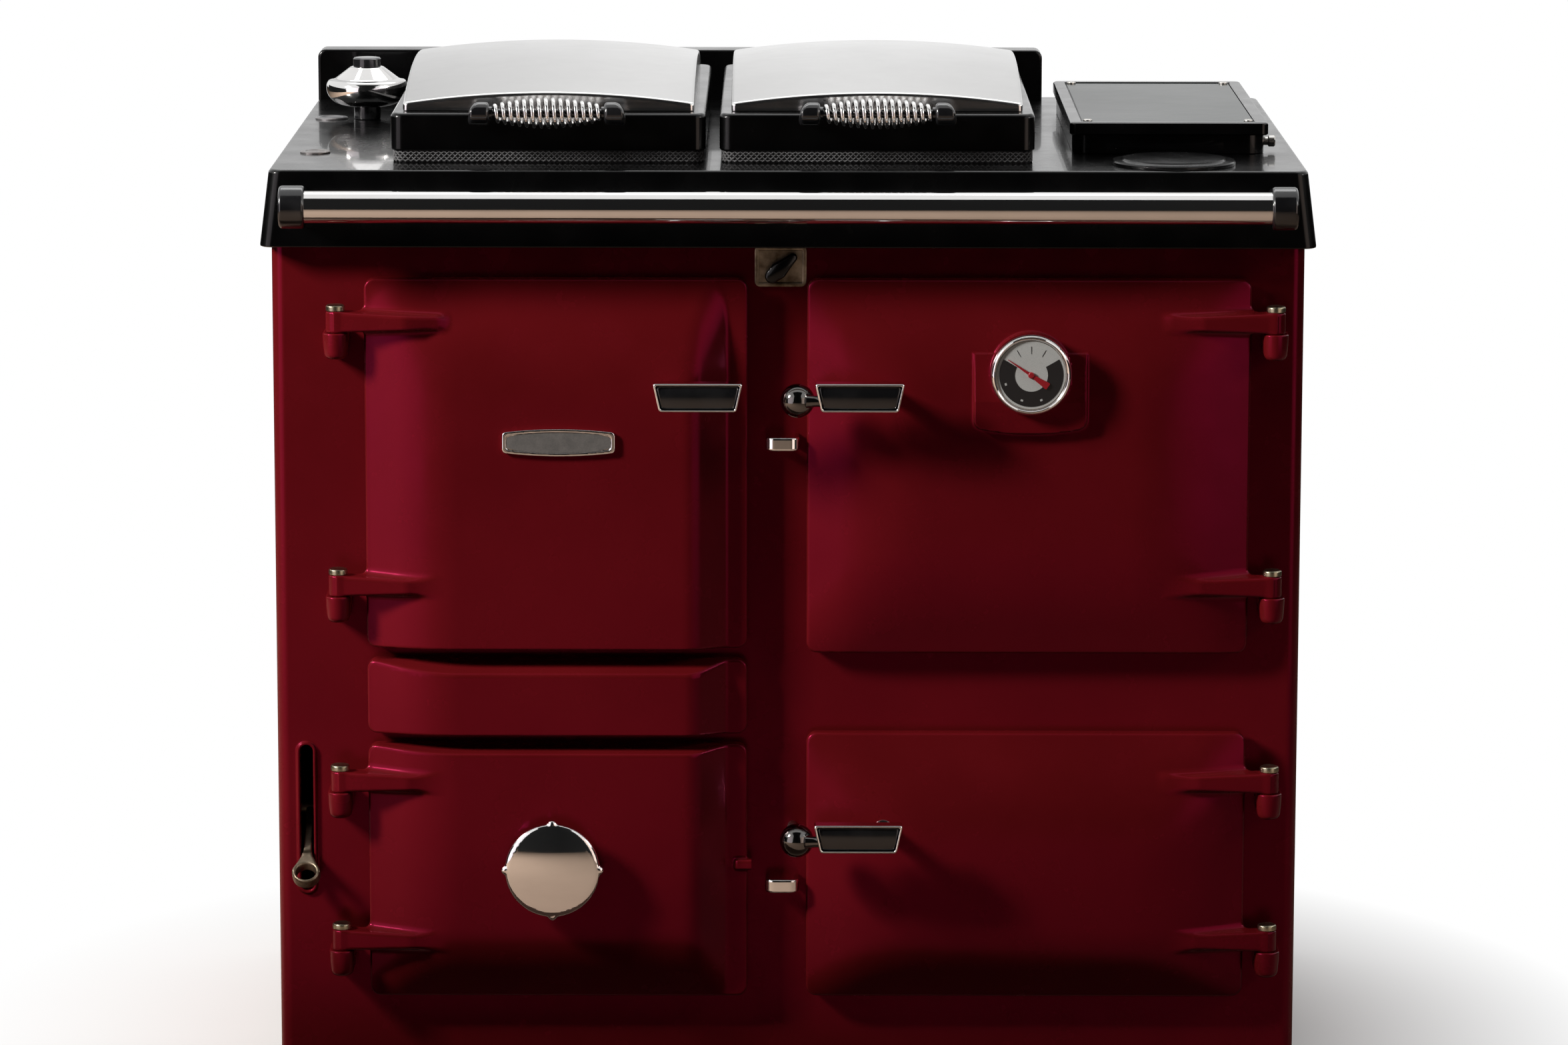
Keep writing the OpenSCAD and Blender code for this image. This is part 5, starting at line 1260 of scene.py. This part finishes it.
def make_grip(lid, body, lid_y, z):
    """Rod between two lugs on the lid's front, and the wire wound round it, fullest midway."""
    low, _, (middle, _, _), (half, _, _) = extent(lid + "_grip_rod")
    wide, lug_r = 19.0, 10.5
    y = low[1] + lug_r

    def lug(q):
        barrel = drum_at(q, (half - wide / 2, y, z), 0, lug_r, wide / 2, 3.5)
        arm = brick_at(q, (half - wide + 1, y, z - lug_r), (half, lid_y + 2, z - 3.5), 3.0)
        taper = (q[:, 0] - half) * 0.75 + (q[:, 2] - z - lug_r + 7) * 0.66
        return soft_max(soft_min(barrel, arm, 5.0), taper, 3.0)

    pair = mirrored(middle, lug, ruler(half - wide - 3, (half + 3, 1.2)),
                    ruler(y - 13, (lid_y + 5, 1.5)), ruler(z - 13, (z + 13, 1.3)))
    add_piece(lid + "_grip_lugs", pair, "grip_black", lid + "_grip_rod", body=body)
    free = half - wide
    core = [(0.3, -free - 1), (6.3, -free - 1), (6.3, -free + 2.5), (4, -free + 3), (4, free - 3),
            (6.3, free - 2.5), (6.3, free + 1), (0.3, free + 1)]
    add_piece(lid + "_grip_core", turned(core, (middle, y, z), 0, 24), "grip_black", body=body)
    turns, rings, wire = 14.5, 26, 2.0
    t = np.linspace(0, 1, int(turns * rings) + 1)
    turn = TURN * turns * t + math.radians(45)
    along = (2 * t - 1) * (free - wire - 2.6)
    radius = 15.0 - wire - 6.0 * np.abs(2 * t - 1) ** 1.8
    path = np.stack([middle + along, y + radius * np.cos(turn), z + radius * np.sin(turn)], 1)
    add_piece(lid + "_grip_wire", sweep(path, wire, 12), "chrome", lid + "_grip_coil", 60,
              body=body)


# ---- Everything on the object ----

def dress_frame_nodes():
    """The inner solids keep their own meshes and take their slots' finishes."""
    slots = {part["node"]: part["material_slot"] for part in frame["record"]["subparts"]}
    for name, node in frame["nodes"].items():
        node.data.materials.clear()
        node.data.materials.append(SKINS[slots[name]])
        soften = node.modifiers.new("soften", "BEVEL")
        soften.width, soften.segments, soften.limit_method = 0.0008, 2, "ANGLE"


for make in (dress_frame_nodes, make_carcass, make_doors, make_hinges, make_staples, make_handles,
             make_badge, make_dial, make_air_wheel, make_damper, make_riddling_lever, make_handrail,
             make_knob, make_covers, make_flue, make_seals, make_hotplates, make_lids):
    make()


# ---- Stage: floor, lamps and what the metal reflects ----

def add_sheet(name, points, skin=None, unseen=()):
    """A four-cornered sheet of the stage, not seen by some kinds of ray."""
    mesh = bpy.data.meshes.new(name)
    mesh.from_pydata(points, [], [(0, 1, 2, 3)])
    if skin:
        mesh.materials.append(skin.owner)
    sheet = place_object(name, mesh)
    for ray in unseen:
        setattr(sheet, "visible_" + ray, False)


def add_floor():
    """Pale floor that turns to plain white away from the cooker, and lights it warmly."""
    skin, size, white = Skin("floor"), 30, (1.0, 1.0, 1.0)
    colour = skin.cloud(skin.noise(1.5, 3.0), 0.35, 0.65, (0.88, 0.865, 0.84), (0.92, 0.905, 0.88))
    seen, soft = skin.add("LightPath"), skin.add("LightPath", out=2)
    colour = skin.blend(seen, skin.blend(soft, (0.55, 0.41, 0.32), (0.06, 0.045, 0.035)), colour)
    away = skin.add("VectorMath", {0: skin.place}, 1, operation="LENGTH")
    skin.show(skin.add("MixShader", {
        0: skin.between(away, 0.40, 0.85) * seen, 1: skin.add("BsdfDiffuse", {"Color": colour}),
        2: skin.add("Emission", {"Color": white, "Strength": 1.0})}))
    add_sheet("floor", [(-size, -size, 0), (size, -size, 0), (size, size, 0), (-size, size, 0)], skin)


def add_lamp(name, place, aim, wide, high, watts, colour=(1.0, 1.0, 1.0)):
    """Softbox at place, turned to aim."""
    data = bpy.data.lights.new(name, "AREA")
    data.shape, data.size, data.size_y, data.energy, data.color = "RECTANGLE", wide, high, watts, colour
    lamp = place_object(name, data)
    turn = (Vector(place) - Vector(aim)).to_track_quat("Z", "Y")
    lamp.matrix_world = Matrix.Translation(place) @ turn.to_matrix().to_4x4()
    lamp.visible_camera = False


def add_card(name, start, end, low, high, levels, tint=(1.0, 1.0, 1.0), lean=0.0):
    """Card that only reflections see: start and end are its (x, y) ends.

    levels are its brightness at the start, in the middle and at the end, and its top is set
    back by lean.
    """
    skin = Skin(name)
    along = skin.add("SeparateXYZ", {0: skin.place})
    middle = (start[0] + end[0]) / 2
    near = skin.between(along, start[0], middle, levels[0], levels[1])
    far = skin.between(along, middle, end[0], 0.0, levels[2] - levels[1])
    skin.show(skin.add("Emission", {"Color": tint, "Strength": near + far}))
    add_sheet(name, [(*start, low), (*end, low), (end[0], end[1] + lean, high),
                     (start[0], start[1] + lean, high)], skin,
              ("camera", "diffuse", "transmission", "volume_scatter", "shadow"))


def add_flag(name, start, end, depth, top):
    """Black flag that keeps the key lamp off the cooker's foot. Only shadow rays see it."""
    add_sheet(name, [(start, depth, 0), (end, depth, 0), (end, depth, top), (start, depth, top)],
              unseen=("camera", "diffuse", "glossy", "transmission", "volume_scatter"))


def set_world():
    """White where the camera and reflections look, and a softer glow as light."""
    air = Skin("studio", "worlds")
    seen = air.add("LightPath", out="Is Camera Ray")
    for ray in ("Is Glossy Ray", "Is Transmission Ray"):
        seen = seen.math("MAXIMUM", air.add("LightPath", out=ray))
    air.show(air.add("Background", {"Color": (1.0, 1.0, 1.0),
                                    "Strength": air.between(seen, 0.0, 1.0, 0.025, 1.0)}),
             "OutputWorld")
    bpy.context.scene.world = air.owner


def set_stage():
    add_floor()
    set_world()
    middle = (0, -0.3, 0.6)
    pink, dark = (1.0, 0.9, 0.95), (0.02, 0.012, 0.02)
    add_lamp("key", (-3.2, -1.65, 2.6), middle, 0.5, 0.9, 198, (1.0, 0.97, 0.94))
    add_flag("foot_flag", -1.6, -0.2, -0.64, 0.735)
    add_lamp("right_side", (3.3, -1.3, 2.2), middle, 0.6, 0.8, 14, (1.0, 0.95, 0.9))
    add_lamp("top", (0, 1.2, 3.2), (0, 0.4, 0.9), 2.6, 1.0, 22)
    add_card("left_card", (-3.3, -1.7), (-1.8, -3.2), 0.0, 2.4, (1.6, 1.6, 1.3), pink)
    add_card("right_card", (1.5, -3.3), (2.9, -2.1), 0.0, 2.2, (0.8, 1.5, 1.2), (1.0, 0.8, 0.7))
    add_card("left_dark", (-3.6, 3.6), (-3.35, -1.6), 0.0, 1.5, dark)
    add_card("right_dark", (2.95, -2.0), (3.6, 3.6), 0.0, 1.5, dark)
    add_card("front_dark", (-2.6, -5.4), (2.6, -5.4), 0.0, 5.2, dark)
    add_card("roof_dark", (-2.6, -5.4), (2.6, -5.4), 5.2, 5.3, dark, lean=3.5)
    add_card("behind", (-1.6, 3.6), (1.6, 3.6), 0.0, 3.6, (0.6, 0.95, 0.75))
    bpy.context.scene.view_settings.view_transform = "Standard"


set_stage()
